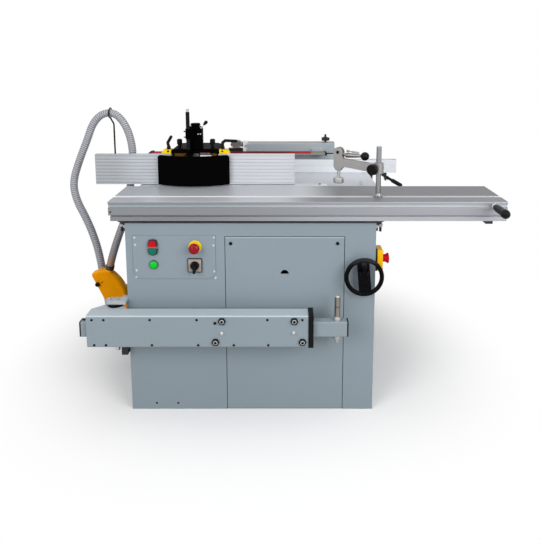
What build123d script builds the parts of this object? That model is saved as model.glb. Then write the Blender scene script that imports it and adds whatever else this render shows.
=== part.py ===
from build123d import *
import os
from math import cos, pi, radians, sin, tan

# Combination woodworking machine: sliding-table saw, spindle moulder and planer on one base.
# Millimetres. X runs along the tables, -Y is the operator's side, Z is up from the floor.

# Cabinet of folded sheet steel
CABINET_HALF = 480
CABINET_FRONT = -440
CABINET_BACK = 130
CABINET_TOP = 770
SHEET = 3
DOOR_LEFT, DOOR_RIGHT, DOOR_TOP = -98, 359, 716
DOOR_GAP = 2.5
REBATE = 18
FINGER_SLOT = (130, 568)
FINGER_SLOT_R = 16
DOOR_SCREWS = [(-77, 690), (333, 690)]
WHEEL_KIT_HOLES = [-382, -297]
WHEEL_KIT_Z = 25
WHEEL_KIT_R = 4.5

# Control panel
PANEL_LEFT, PANEL_RIGHT = -452, -136
PANEL_LOW, PANEL_HIGH = 550, 722
PANEL_CHAMFER = 20
PANEL_FACE = CABINET_FRONT - SHEET
BUTTONS_X, BUTTONS_Z = -374.5, 677
BUTTON_FRAME_W, BUTTON_FRAME_H = 37, 63
LAMP = (-373.5, 607)
ESTOP = (-213, 678)
SELECTOR = (-215, 605)
CONTROL_HOLE_R = 11.2

# Tables
TABLE_TOP = 860
SLIDE_LEFT, SLIDE_RIGHT = -533, 967
SLIDE_FRONT, SLIDE_BACK = -465, -195
SLIDE_LOW = 807
RAIL_LEFT, RAIL_RIGHT = -527, 966
RAIL_LOW, RAIL_HIGH = 785, 806.5
GUIDE_FRONT, GUIDE_BACK = -390, -270
T_SLOT_Y = -382
MAIN_LEFT, MAIN_RIGHT = -480, 518
MAIN_FRONT, MAIN_BACK = -193, 135
INSERT_LEFT, INSERT_RIGHT = -109, 310
INSERT_BACK = -153
INSERT_THICK = 10
GUIDE_BAR = 8
TABLE_HOLES = [(454, -160), (455, -119)]

# Saw
BLADE_X, BLADE_Y, BLADE_Z = 100, -173, 678
BLADE_R = 157
BLADE_THICK = 3.2
BLADE_TEETH = 30
ARBOR_R = 12.5

# Handwheel
WHEEL = (433, -472, 567)
WHEEL_R = 76
WHEEL_RIM_R = 8.5
WHEEL_TILT = -5

# Outrigger arm, folded along the front
PIVOT = (-525, -451)
PIVOT_R = 10
ARM_LEFT, ARM_RIGHT = -609, 219
ARM_FRONT, ARM_BACK = -550, -480
ARM_LOW, ARM_HIGH = 321, 446
ARM_WALL = 4
TUBE_LEFT, TUBE_RIGHT = -640, 370
TUBE_FRONT, TUBE_BACK = -535, -495
TUBE_LOW, TUBE_HIGH = 355, 415
ROLLER_R = 11
UPPER_ROLLERS_X = [-103, 166]
LOWER_ROLLERS_X = [-128, 197]
SUPPORT_X = 329
SUPPORT_R = 11
SUPPORT_TOP = 512

# Spindle moulder
SPINDLE = (-252, -100)
SPINDLE_R = 15
CUTTER_R = 50
FENCE_FACE = -168
FENCE_THICK = 24
FENCE_LOW, FENCE_HIGH = 862, 990
LEFT_FENCE = (-671, -350)
RIGHT_FENCE = (-150, 172)
HOOD_HALF = 102.5
HOOD_FRONT, HOOD_BACK = -142, 60
HOOD_TOP = 1008
HOOD_LIP = 993
HOOD_ROOF = 8
HOOD_WALL = 5
HOOD_CORNER = 45
SHIELD_HALF = 150
SHIELD_LOW, SHIELD_HIGH = 866, 992
SHIELD_CORNER_Y, SHIELD_BULGE_Y = -188, -232
SHIELD_THICK = 4
ROD = (-276, -165)
ROD_R = 8
ROD_TOP = 1181

# Hold-down clamp on the sliding table
POST = (492, -385)
POST_R = 10
POST_TOP = 1058
CLAMP_HEAD = (346, -298)
CLAMP_BOSS_Z = 1023
CLAMP_FOOT_R = 21.5

# Planer behind the saw
PLANER_HALF = 230
PLANER_FRONT, PLANER_BACK = 140, 460
PLANER_CHEEK = 18
CUTTERBLOCK = (45, 823)
CUTTERBLOCK_R = 36
JOURNAL_R = 12
BED_Z = 600

# Dust collection
HOSE_R = 17
HOSE_BORE_R = 14.5
HOSE_RIBS = 60
HOSE_CREST = 0.45
CHUTE_OUTLET_R = 50

os.makedirs("parts", exist_ok=True)


def save(name, *pieces):
    """Write one named sub-part; more than one piece makes a group of separate solids."""
    shape = pieces[0] if len(pieces) == 1 else Compound(children=list(pieces))
    export_step(shape, f"parts/{name}.step")


def block(low, high):
    """A box between two opposite corners."""
    size = [top - bottom for bottom, top in zip(low, high)]
    middle = [(top + bottom) / 2 for bottom, top in zip(low, high)]
    return Pos(*middle) * Box(*size)


def bar(start, end, radius):
    """A round bar between two points."""
    start = Vector(*start)
    line = Vector(*end) - start
    standing = (Align.CENTER, Align.CENTER, Align.MIN)
    return Plane(origin=start, z_dir=line) * Cylinder(radius, line.length, align=standing)


def along_x(sketch, left, right):
    """A section drawn as (Y, Z), drawn out from left to right."""
    return extrude(Plane.YZ.offset(left) * sketch, right - left, dir=(1, 0, 0))


def along_y(sketch, front, back):
    """An elevation drawn as (X, Z), drawn out from front to back."""
    return extrude(Plane.XZ.offset(-front) * sketch, back - front, dir=(0, 1, 0))


def upright(sketch, low, high):
    """A plan drawn as (X, Y), drawn out from low to high."""
    return extrude(Plane.XY.offset(low) * sketch, high - low, dir=(0, 0, 1))


def rectangle(left, right, low, high):
    """A flat rectangle between two corners."""
    return Pos((left + right) / 2, (low + high) / 2) * Rectangle(right - left, high - low)


def turned(outline, place, direction):
    """A turned piece: outline as (radius, height) points, its axis at place along direction."""
    profile = Plane.XZ * Polygon((0, outline[0][1]), *outline, (0, outline[-1][1]), align=None)
    return Plane(origin=place, z_dir=direction) * revolve(profile, Axis.Z)


# Cabinet: welded sheet box with a deck, a door opening with a rebate, and an opening behind the panel
inner = CABINET_HALF - SHEET
cabinet = block((-CABINET_HALF, CABINET_FRONT, 0), (CABINET_HALF, CABINET_BACK, CABINET_TOP))
inside_top = CABINET_TOP - SHEET
cabinet -= block((-inner, CABINET_FRONT + SHEET, SHEET), (inner, CABINET_BACK - SHEET, inside_top))
saw_well = block((-150, -235, CABINET_TOP - 10), (350, -15, CABINET_TOP + 10))
spindle_well = Pos(*SPINDLE, CABINET_TOP) * Cylinder(110, 20)
door_opening = block(
    (DOOR_LEFT - DOOR_GAP, CABINET_FRONT - 1, -1),
    (DOOR_RIGHT + DOOR_GAP, CABINET_FRONT + SHEET, DOOR_TOP + DOOR_GAP),
)
panel_opening = block(
    (PANEL_LEFT + 16, CABINET_FRONT - 1, PANEL_LOW + 12),
    (PANEL_RIGHT - 16, CABINET_FRONT + SHEET + 1, PANEL_HIGH - 12),
)
chute_opening = block((-CABINET_HALF - 1, -155, 210), (-inner + 1, -80, 330))
shaft_hole = bar((WHEEL[0], CABINET_FRONT - 5, WHEEL[2]), (WHEEL[0], CABINET_FRONT + 5, WHEEL[2]), 13)
cabinet -= saw_well + spindle_well
cabinet -= door_opening
cabinet -= panel_opening
cabinet -= chute_opening
cabinet -= shaft_hole
rebate = rectangle(DOOR_LEFT - REBATE, DOOR_RIGHT + REBATE, SHEET, DOOR_TOP + REBATE)
rebate -= rectangle(DOOR_LEFT + REBATE, DOOR_RIGHT - REBATE, SHEET + REBATE, DOOR_TOP - REBATE)
cabinet += along_y(rebate, CABINET_FRONT + SHEET, CABINET_FRONT + 2 * SHEET)
for hole_x in WHEEL_KIT_HOLES:
    hole_front = (hole_x, CABINET_FRONT - 5, WHEEL_KIT_Z)
    hole_back = (hole_x, CABINET_FRONT + 5, WHEEL_KIT_Z)
    cabinet -= bar(hole_front, hole_back, WHEEL_KIT_R)
save("cabinet", cabinet)

# Front door: a flush sheet in its opening, with a half-moon finger slot and two screw holes
door = rectangle(DOOR_LEFT, DOOR_RIGHT, SHEET, DOOR_TOP)
slot_round = Pos(*FINGER_SLOT) * Circle(FINGER_SLOT_R)
slot_x, slot_z = FINGER_SLOT
door -= slot_round & rectangle(slot_x - 40, slot_x + 40, slot_z, slot_z + 40)
for screw in DOOR_SCREWS:
    door -= Pos(*screw) * Circle(4)
save("front_door", along_y(door, CABINET_FRONT, CABINET_FRONT + SHEET))

# Control panel: a plate with clipped lower corners, drilled for the controls
panel = Polygon(
    (PANEL_LEFT, PANEL_HIGH),
    (PANEL_RIGHT, PANEL_HIGH),
    (PANEL_RIGHT, PANEL_LOW + PANEL_CHAMFER),
    (PANEL_RIGHT - PANEL_CHAMFER, PANEL_LOW),
    (PANEL_LEFT + PANEL_CHAMFER, PANEL_LOW),
    (PANEL_LEFT, PANEL_LOW + PANEL_CHAMFER),
    align=None,
)
panel -= Pos(BUTTONS_X, BUTTONS_Z) * Rectangle(BUTTON_FRAME_W - 6, BUTTON_FRAME_H - 5)
for control in [LAMP, ESTOP, SELECTOR]:
    panel -= Pos(*control) * Circle(CONTROL_HOLE_R)
save("control_panel", along_y(panel, PANEL_FACE, CABINET_FRONT))

# Signal lamp: domed lens in a bezel, with its body through the panel
lamp_outline = [(11, -22), (11, 0), (17.5, 0), (17.5, 4), (15, 6), (12, 9), (6, 11)]
save("signal_lamp", turned(lamp_outline, (LAMP[0], PANEL_FACE, LAMP[1]), (0, -1, 0)))

# Control bezels: twin button frame with its middle bar, yellow emergency collar, square selector plate
frame_depth = 8
bar_half = 3.5
frame_outer = Pos(BUTTONS_X, BUTTONS_Z) * RectangleRounded(BUTTON_FRAME_W, BUTTON_FRAME_H, 17)
frame_inner = Pos(BUTTONS_X, BUTTONS_Z) * RectangleRounded(BUTTON_FRAME_W - 7, BUTTON_FRAME_H - 7, 14)
frame_inner -= Pos(BUTTONS_X, BUTTONS_Z) * Rectangle(BUTTON_FRAME_W, 2 * bar_half)
button_frame = along_y(frame_outer - frame_inner, PANEL_FACE - frame_depth, PANEL_FACE)
collar = turned([(25, 0), (25, 3), (22, 5)], (ESTOP[0], PANEL_FACE, ESTOP[1]), (0, -1, 0))
collar -= bar((ESTOP[0], PANEL_FACE - 10, ESTOP[1]), (ESTOP[0], PANEL_FACE + 1, ESTOP[1]), CONTROL_HOLE_R)
plate_face = Pos(*SELECTOR) * (RectangleRounded(56, 56, 5) - Circle(8))
selector_plate = along_y(plate_face, PANEL_FACE - 6, PANEL_FACE)
save("control_bezels", button_frame, collar, selector_plate)

# Start and stop buttons: half-round caps in the frame, each on a stem
button_shape = Pos(BUTTONS_X, BUTTONS_Z) * RectangleRounded(BUTTON_FRAME_W - 8, BUTTON_FRAME_H - 8, 13.5)
button_reach = BUTTON_FRAME_H
for name, side in [("stop_button", 1), ("start_button", -1)]:
    half_z = BUTTONS_Z + side * (bar_half + 0.5 + button_reach / 2)
    half = Pos(BUTTONS_X, half_z) * Rectangle(BUTTON_FRAME_W, button_reach)
    cap = along_y(button_shape & half, PANEL_FACE - 12, PANEL_FACE - 1)
    stem_z = BUTTONS_Z + side * 16
    save(name, cap + bar((BUTTONS_X, PANEL_FACE - 2, stem_z), (BUTTONS_X, PANEL_FACE + 18, stem_z), 6))

# Emergency stops: mushroom heads, one on the panel and one on the box at the right wall
mushroom = [(8, -18), (8, 18), (15, 19), (20.5, 24), (20.5, 31), (18, 36), (12, 40), (5, 42)]
save("panel_estop", turned(mushroom, (ESTOP[0], PANEL_FACE, ESTOP[1]), (0, -1, 0)))
box_high, box_low = 660, 573
box_front, box_back = -430, -360
box_depth = 31
box_middle = ((box_front + box_back) / 2, (box_low + box_high) / 2)
box_section = Pos(*box_middle) * RectangleRounded(box_back - box_front, box_high - box_low, 10)
estop_box = along_x(box_section, CABINET_HALF, CABINET_HALF + box_depth)
estop_box = fillet(estop_box.faces().sort_by(Axis.X)[-1].edges(), 5)
estop_box -= bar((CABINET_HALF + 8, *box_middle), (CABINET_HALF + box_depth + 5, *box_middle), 9)
save("estop_box", estop_box)
box_mushroom = [(8, -14), (8, 4), (15, 4.5), (15, 12), (17, 17), (20.5, 22), (20.5, 25), (15, 27), (5, 28)]
save("box_estop", turned(box_mushroom, (CABINET_HALF + box_depth, *box_middle), (1, 0, 0)))

# Selector knob: round hub with a pointer handle hanging down, on its spindle
pointer = Pos(SELECTOR[0], SELECTOR[1] - 9) * RectangleRounded(11, 34, 5)
knob = along_y(pointer, PANEL_FACE - 30, PANEL_FACE - 12)
hub_outline = [(5, -20), (5, 6.5), (17, 6.5), (17, 12), (14, 18), (14, 20)]
knob += turned(hub_outline, (SELECTOR[0], PANEL_FACE, SELECTOR[1]), (0, -1, 0))
save("selector_knob", knob)

# Lower rail: fixed extrusion on the cabinet with the guide channel open at the top
rail = rectangle(SLIDE_FRONT + 3, SLIDE_BACK - 5, RAIL_LOW, RAIL_HIGH)
rail -= rectangle(GUIDE_FRONT, GUIDE_BACK, RAIL_LOW + 8, RAIL_HIGH + 1)
for chamber in [(SLIDE_FRONT + 7, GUIDE_FRONT - 4), (GUIDE_BACK + 4, SLIDE_BACK - 9)]:
    rail -= rectangle(*chamber, RAIL_LOW + 4, RAIL_HIGH - 9)
rail -= rectangle(SLIDE_FRONT, SLIDE_FRONT + 9, RAIL_HIGH - 5, RAIL_HIGH + 1)
save("lower_rail", along_x(rail, RAIL_LEFT, RAIL_RIGHT))

# Rail feet and clamps: two cross pads on the deck, an angle clamp and bolt at each wall, an end bumper
clamp_front, clamp_back = -425, -385
rail_pieces = []
for pad_x in [-380, 380]:
    rail_pieces.append(block((pad_x - 40, -420, CABINET_TOP), (pad_x + 40, -240, RAIL_LOW)))
for side in [-1, 1]:
    angle = Polygon(
        (side * CABINET_HALF, RAIL_LOW),
        (side * (CABINET_HALF + 32), RAIL_LOW),
        (side * (CABINET_HALF + 32), RAIL_LOW - 12),
        (side * (CABINET_HALF + 12), RAIL_LOW - 20),
        (side * (CABINET_HALF + 8), 735),
        (side * CABINET_HALF, 735),
        align=None,
    )
    bolt_x = side * (CABINET_HALF + 21)
    clamp_bolt = bar((bolt_x, -405, 728), (bolt_x, -405, RAIL_LOW - 5), 5)
    clamp_nut = Pos(bolt_x, -405, 748) * extrude(RegularPolygon(9, 6), 10)
    rail_pieces.append(along_y(angle, clamp_front, clamp_back) + clamp_bolt + clamp_nut)
rail_pieces.append(block((890, -455, 772), (917, -415, RAIL_LOW)))
save("rail_clamps", *rail_pieces)

# Main table: ribbed casting with a skirt, a rebate for the saw insert and a round spindle opening
plate_low = TABLE_TOP - 20
skirt = 10
main_table = block((MAIN_LEFT, MAIN_FRONT, CABINET_TOP), (CABINET_HALF, MAIN_BACK - 5, TABLE_TOP))
main_table -= block(
    (MAIN_LEFT + skirt, MAIN_FRONT + skirt, CABINET_TOP - 1),
    (CABINET_HALF - skirt, MAIN_BACK - 5 - skirt, plate_low),
)
main_table += block((CABINET_HALF - 1, MAIN_FRONT, plate_low - 15), (MAIN_RIGHT, MAIN_BACK - 5, TABLE_TOP))
for rib_x in [-400, 380]:
    rib_low, rib_high = plate_low - 40, plate_low + 1
    main_table += block((rib_x, MAIN_FRONT + 5, rib_low), (rib_x + skirt, MAIN_BACK - 10, rib_high))
insert_low = TABLE_TOP - INSERT_THICK
main_table -= block((INSERT_LEFT, MAIN_FRONT - 1, insert_low), (INSERT_RIGHT, INSERT_BACK, TABLE_TOP + 1))
blade_left, blade_right = BLADE_X - 185, BLADE_X + 185
main_table -= block((blade_left, MAIN_FRONT - 1, plate_low - 90), (blade_right, INSERT_BACK - 8, TABLE_TOP))
main_table -= Pos(*SPINDLE, TABLE_TOP) * Cylinder(72, 60)
for hole in TABLE_HOLES:
    main_table -= Pos(*hole, TABLE_TOP) * Cylinder(9, 14)
save("main_table", main_table)

# Saw insert: aluminium strip with the blade slot
insert_gap = 0.5
insert = rectangle(INSERT_LEFT, INSERT_RIGHT, MAIN_FRONT, INSERT_BACK)
insert = offset(insert, amount=-insert_gap, kind=Kind.INTERSECTION)
insert -= Pos(BLADE_X, BLADE_Y) * SlotOverall(2 * BLADE_R + 40, 12)
save("saw_insert", upright(insert, insert_low, TABLE_TOP))

# Arm hinge: an upper plate and a lower plate with a block, each on a tab at the cabinet's left wall
wall_x = -CABINET_HALF
plate_plan = Pos(-540, PIVOT[1]) * Circle(22)
plate_plan += rectangle(-540, wall_x, PIVOT[1] - 22, PIVOT[1] + 22)
plate_plan += rectangle(wall_x - 25, wall_x, PIVOT[1], -410)
plate_plan -= rectangle(wall_x - 1, wall_x + 1, -600, -430)
plate_plan -= Pos(*PIVOT) * Circle(PIVOT_R)
upper_plate = upright(plate_plan, 457, 469) + block((wall_x - 6, -437, 425), (wall_x, -410, 469))
lower_plate = upright(plate_plan, 298, 310) + block((wall_x - 6, -437, 246), (wall_x, -410, 310))
lower_plate += block((-506, -465, 246), (wall_x - 2, -412, 299))
save("arm_hinge_brackets", upper_plate, lower_plate)

# Hinge pin with its head, lower nut and the black thrust washer above the arm
pin = bar((*PIVOT, 262), (*PIVOT, 469), PIVOT_R)
pin += upright(Pos(*PIVOT) * Circle(14), 469, 473)
pin += upright(Pos(*PIVOT) * RegularPolygon(15, 6), 282, 298)
washer = upright(Pos(*PIVOT) * (Circle(30) - Circle(PIVOT_R)), ARM_HIGH + 0.4, 457)
save("arm_pivot_pin", pin, washer)

# Swing arm: folded box with a hinge lug, open at both ends for the tube
arm = rectangle(ARM_FRONT, ARM_BACK, ARM_LOW, ARM_HIGH)
arm = fillet(arm.vertices(), 6)
arm -= rectangle(ARM_FRONT + ARM_WALL, ARM_BACK - ARM_WALL, ARM_LOW + ARM_WALL, ARM_HIGH - ARM_WALL)
swing_arm = along_x(arm, ARM_LEFT, ARM_RIGHT)
lug = Polygon((-605, ARM_BACK - 2), (-549, -433), (-508, -433), (-478, ARM_BACK - 2), align=None)
lug += Pos(*PIVOT) * Circle(30)
lug -= Pos(*PIVOT) * Circle(PIVOT_R + 0.06)
lug -= rectangle(-700, -300, ARM_BACK - 60, ARM_BACK - 2)
swing_arm += upright(lug, ARM_LOW + 4, ARM_HIGH)
for roller_x, roller_z in zip(UPPER_ROLLERS_X + LOWER_ROLLERS_X, [TUBE_HIGH] * 2 + [TUBE_LOW] * 2):
    bolt_z = roller_z + (ROLLER_R + 0.3) * (1 if roller_z == TUBE_HIGH else -1)
    swing_arm -= bar((roller_x, ARM_FRONT - 1, bolt_z), (roller_x, ARM_BACK + 1, bolt_z), 6)
save("swing_arm", swing_arm)

# Arm end frame: black moulding round the tube at the open end
end_frame = fillet(rectangle(ARM_FRONT - 3, ARM_BACK + 3, ARM_LOW - 3, ARM_HIGH + 4).vertices(), 8)
end_frame -= rectangle(TUBE_FRONT - 3, TUBE_BACK + 3, TUBE_LOW - 3, TUBE_HIGH + 3)
save("arm_end_frame", along_x(end_frame, ARM_RIGHT, ARM_RIGHT + 19))

# Arm rollers: four bearings on bolts with washers and nuts outside the box
rollers = []
for roller_x, roller_z in zip(UPPER_ROLLERS_X + LOWER_ROLLERS_X, [TUBE_HIGH] * 2 + [TUBE_LOW] * 2):
    bolt_z = roller_z + (ROLLER_R + 0.3) * (1 if roller_z == TUBE_HIGH else -1)
    outline = [(6, -4), (6, ARM_WALL), (8, ARM_WALL), (8, 15), (ROLLER_R, 15)]
    outline += [(ROLLER_R, 55), (8, 55), (8, 66), (6, 66), (6, 74)]
    roller = turned(outline, (roller_x, ARM_FRONT, bolt_z), (0, 1, 0))
    roller += along_y(Pos(roller_x, bolt_z) * (RegularPolygon(14.5, 6)), ARM_FRONT - 7, ARM_FRONT)
    rollers.append(roller)
save("arm_rollers", *rollers)

# Arm tube: telescopic rectangular tube with its two end plugs
section = fillet(rectangle(TUBE_FRONT, TUBE_BACK, TUBE_LOW, TUBE_HIGH).vertices(), 5)
bore = fillet(rectangle(TUBE_FRONT + 3, TUBE_BACK - 3, TUBE_LOW + 3, TUBE_HIGH - 3).vertices(), 2)
plug = 6
arm_tube = along_x(section - bore, TUBE_LEFT + plug, TUBE_RIGHT - plug)
tube_middle_y = (TUBE_FRONT + TUBE_BACK) / 2
pin_low, pin_high = (SUPPORT_X, tube_middle_y, TUBE_LOW - 5), (SUPPORT_X, tube_middle_y, TUBE_HIGH + 5)
arm_tube -= bar(pin_low, pin_high, SUPPORT_R)
left_plug = along_x(section, TUBE_LEFT, TUBE_LEFT + plug)
right_plug = along_x(section, TUBE_RIGHT - plug, TUBE_RIGHT)
save("arm_tube", arm_tube, left_plug, right_plug)

# Support pin: turned pin through the tube, with a shoulder on top and a nut below
pin_outline = [
    (6, 326),
    (6, TUBE_LOW - 14),
    (SUPPORT_R, TUBE_LOW - 14),
    (SUPPORT_R, TUBE_HIGH),
    (16, TUBE_HIGH),
    (16, TUBE_HIGH + 10),
    (13, TUBE_HIGH + 13),
    (SUPPORT_R, TUBE_HIGH + 13),
    (SUPPORT_R, SUPPORT_TOP - 3),
    (SUPPORT_R - 3, SUPPORT_TOP),
]
support = turned(pin_outline, (SUPPORT_X, tube_middle_y, 0), (0, 0, 1))
support += upright(Pos(SUPPORT_X, tube_middle_y) * RegularPolygon(17, 6), TUBE_LOW - 12, TUBE_LOW)
save("support_pin", support)

# Sliding table: extrusion with a front groove, a top T-slot and the guide channel below
edge = 3
groove_low, groove_high, groove_deep = 837, 850, 6
slide = fillet(rectangle(SLIDE_FRONT, SLIDE_BACK, SLIDE_LOW, TABLE_TOP).vertices(), edge)
groove = Polygon(
    (SLIDE_FRONT - 1, groove_low),
    (SLIDE_FRONT + groove_deep, groove_low + 2),
    (SLIDE_FRONT + groove_deep, groove_high - 2),
    (SLIDE_FRONT - 1, groove_high),
    align=None,
)
slide -= groove
slide -= rectangle(T_SLOT_Y - 6, T_SLOT_Y + 6, TABLE_TOP - 7, TABLE_TOP + 1)
slide -= rectangle(T_SLOT_Y - 11, T_SLOT_Y + 11, TABLE_TOP - 15, TABLE_TOP - 7)
slide -= rectangle(GUIDE_FRONT, GUIDE_BACK, SLIDE_LOW - 1, SLIDE_LOW + 30)
slide -= rectangle(SLIDE_FRONT + 16, GUIDE_FRONT - 5, SLIDE_LOW + 5, TABLE_TOP - 20)
slide -= rectangle(GUIDE_BACK + 5, SLIDE_BACK - 5, SLIDE_LOW + 5, TABLE_TOP - 6)
save("sliding_table", along_x(slide, SLIDE_LEFT, SLIDE_RIGHT))

# Roller carriage: a bar between the two channels carrying rollers that bear on both
carriage_middle = (SLIDE_LEFT + SLIDE_RIGHT) / 2
carriage_half = 340
channel_low, channel_high = RAIL_LOW + 8, SLIDE_LOW + 30
wheel_z = (channel_low + channel_high) / 2
carriage = block(
    (carriage_middle - carriage_half, GUIDE_FRONT + 50, wheel_z - 12),
    (carriage_middle + carriage_half, GUIDE_BACK - 50, wheel_z + 12),
)
carriage_wheel_r = (channel_high - channel_low) / 2 - 0.3
for step in range(6):
    wheel_x = carriage_middle + carriage_half * (-0.85 + 0.34 * step)
    for wheel_y in [GUIDE_FRONT + 30, GUIDE_BACK - 51]:
        carriage += bar((wheel_x, wheel_y, wheel_z), (wheel_x, wheel_y + 21, wheel_z), carriage_wheel_r)
save("roller_carriage", carriage)

# Push handle in the front groove: chrome stem, black grip with a ball end
handle_outline = [(11, 0), (11, 6), (8, 7), (8, 16), (12, 18), (14, 40)]
handle_outline += [(14, 96), (16.5, 104), (17, 112), (15, 121), (9, 127), (4, 128)]
save("push_handle", turned(handle_outline, (916, SLIDE_FRONT, 843.5), (0, -1, 0)))

# Clamp post: turned post with a foot flange on the table
post_height = POST_TOP - TABLE_TOP
post_outline = [(17, 0), (17, 5), (13, 8), (POST_R, 14)]
post_outline += [(POST_R, post_height - 2), (POST_R - 2, post_height)]
save("clamp_post", turned(post_outline, (*POST, TABLE_TOP), (0, 0, 1)))

# Clamp arm: casting from a split collar on the post to the eccentric head, with its lock knob
head = Vector(*CLAMP_HEAD, 0)
reach = Vector(*POST, 0) - head
clamp_plane = Plane(origin=head, x_dir=reach, z_dir=reach.normalized().cross(Vector(0, 0, 1)))
arm_half = 11
arm_outline = Polygon(
    (-18, 962),
    (-18, 1022),
    (18, 1022),
    (20, 998),
    (reach.length, 986),
    (reach.length, 954),
    (24, 966),
    (8, 948),
    (-8, 948),
    align=None,
)
clamp_arm = extrude(clamp_plane * arm_outline, arm_half, both=True)
clamp_arm += extrude(clamp_plane * (Pos(0, 1022) * Circle(20)), arm_half, both=True)
clamp_arm += Pos(*POST, 974) * Cylinder(19, 40)
clamp_arm -= bar((*POST, 940), (*POST, 1010), POST_R + 0.05)
clamp_arm -= bar((*CLAMP_HEAD, 940), (*CLAMP_HEAD, 1012), 6.6)
fork = Polygon((-12, 1000), (-22, 1006), (-22, 1046), (60, 1046), (60, 1008), (14, 1004), align=None)
clamp_arm -= extrude(clamp_plane * fork, 5.5, both=True)
knob_axis = (reach.normalized().cross(Vector(0, 0, 1))) * 1
knob_start = Vector(*POST, 972) - reach.normalized() * 11
clamp_knob = turned([(6, 10), (6, 24), (19, 26), (21, 30), (21, 44), (18, 48)], knob_start, knob_axis)
save("clamp_arm", clamp_arm + clamp_knob)

# Clamp lever: eccentric in the fork, tapered grip and ball
lever_hub = extrude(clamp_plane * (Pos(0, CLAMP_BOSS_Z) * Circle(13)), 5, both=True)
lever_end = clamp_plane.from_local_coords((112, 1014, 0))
lever_start = clamp_plane.from_local_coords((4, CLAMP_BOSS_Z, 0))
grip_start = clamp_plane.from_local_coords((29, 1012, 0))
grip_outline = [(8, 0), (10, 3), (10, 16), (6, 66), (6, 76)]
lever = lever_hub + bar(lever_start, grip_start, 4.8) + Pos(*lever_end) * Sphere(17)
lever += turned(grip_outline, grip_start, lever_end - grip_start)
save("clamp_lever", lever)

# Clamp foot: stem with a wide pad
foot_outline = [(19, 898), (CLAMP_FOOT_R, 901), (CLAMP_FOOT_R, 916), (19, 920)]
foot_outline += [(9, 923), (6.5, 926), (6.5, 997), (4, 999)]
save("clamp_foot", turned(foot_outline, (*CLAMP_HEAD, 0), (0, 0, 1)))

# Handwheel: round rim, wide web bar, hub and shaft through the front wall
wheel_turn = Pos(*WHEEL) * Rot(0, WHEEL_TILT, 0) * Pos(-WHEEL[0], -WHEEL[1], -WHEEL[2])
rim_section = Plane.XZ * (Pos(WHEEL_R - WHEEL_RIM_R, 0) * Circle(WHEEL_RIM_R))
rim = Plane(origin=WHEEL, z_dir=(0, -1, 0)) * revolve(rim_section, Axis.Z)
web = Pos(WHEEL[0], WHEEL[2]) * Rectangle(47, 2 * (WHEEL_R - WHEEL_RIM_R))
web = along_y(web & (Pos(WHEEL[0], WHEEL[2]) * Circle(WHEEL_R - WHEEL_RIM_R)), WHEEL[1] - 4, WHEEL[1] + 4)
hub = turned([(10, -90), (10, -30), (18, -30), (22, -3), (22, 6), (16, 9)], WHEEL, (0, -1, 0))
handle_y, handle_z = WHEEL[1] - 16, WHEEL[2] + 24
pivot_r, eye_r, eye_half = 3, 8, 9
handwheel = rim + web + hub
for ear_x in [WHEEL[0] - eye_half - 5, WHEEL[0] + eye_half + 1]:
    ear = Pos(handle_y, handle_z) * Circle(eye_r)
    ear += rectangle(handle_y, WHEEL[1], handle_z - eye_r, handle_z + eye_r)
    handwheel += along_x(ear, ear_x, ear_x + 4)
handle_x, pin_half = WHEEL[0], eye_half + 5
pin_left, pin_right = (handle_x - pin_half, handle_y, handle_z), (handle_x + pin_half, handle_y, handle_z)
handwheel += bar(pin_left, pin_right, pivot_r)
save("handwheel", wheel_turn * handwheel)

# Folding handle: grip with an eye on the cross pin, folded up against the web
grip_outline = [(6, 5), (8, 9), (9, 14), (11, 20), (11, 36), (8, 40)]
grip = turned(grip_outline, (WHEEL[0], handle_y, handle_z), (0, 0, 1))
eye_left, eye_right = (handle_x - eye_half, handle_y, handle_z), (handle_x + eye_half, handle_y, handle_z)
grip += bar(eye_left, eye_right, eye_r - 0.5)
grip -= bar((handle_x - 20, handle_y, handle_z), (handle_x + 20, handle_y, handle_z), pivot_r + 0.06)
save("wheel_handle", wheel_turn * grip)

# Saw carriage: lifting plate with the arbor housing, its motor and belt
housing_front, housing_back = -140, -40
saw_plate = block((30, housing_back, 400), (170, housing_back + 15, 735))
housing = bar((BLADE_X, housing_front, BLADE_Z), (BLADE_X, housing_back + 1, BLADE_Z), 38)
bore = bar((BLADE_X, housing_front - 1, BLADE_Z), (BLADE_X, housing_back + 20, BLADE_Z), ARBOR_R + 0.06)
housing -= bore
motor_z = 470
saw_motor = bar((BLADE_X, housing_back + 15, motor_z), (BLADE_X, 95, motor_z), 66)
saw_plate -= bore
motor_shaft = bar((BLADE_X, -156, motor_z), (BLADE_X, housing_back + 16, motor_z), 12)
motor_pulley = bar((BLADE_X, -158, motor_z), (BLADE_X, -143, motor_z), 34)
belt_outer = rectangle(BLADE_X - 40, BLADE_X + 40, motor_z, BLADE_Z)
belt_outer += Pos(BLADE_X, motor_z) * Circle(40)
belt_outer += Pos(BLADE_X, BLADE_Z) * Circle(40)
belt_inner = rectangle(BLADE_X - 35, BLADE_X + 35, motor_z, BLADE_Z)
belt_inner += Pos(BLADE_X, motor_z) * Circle(34)
belt_inner += Pos(BLADE_X, BLADE_Z) * Circle(35.5)
saw_belt = along_y(belt_outer - belt_inner, -156, -145)
save("saw_carriage", saw_plate + housing, saw_motor + motor_shaft + motor_pulley, saw_belt)

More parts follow.
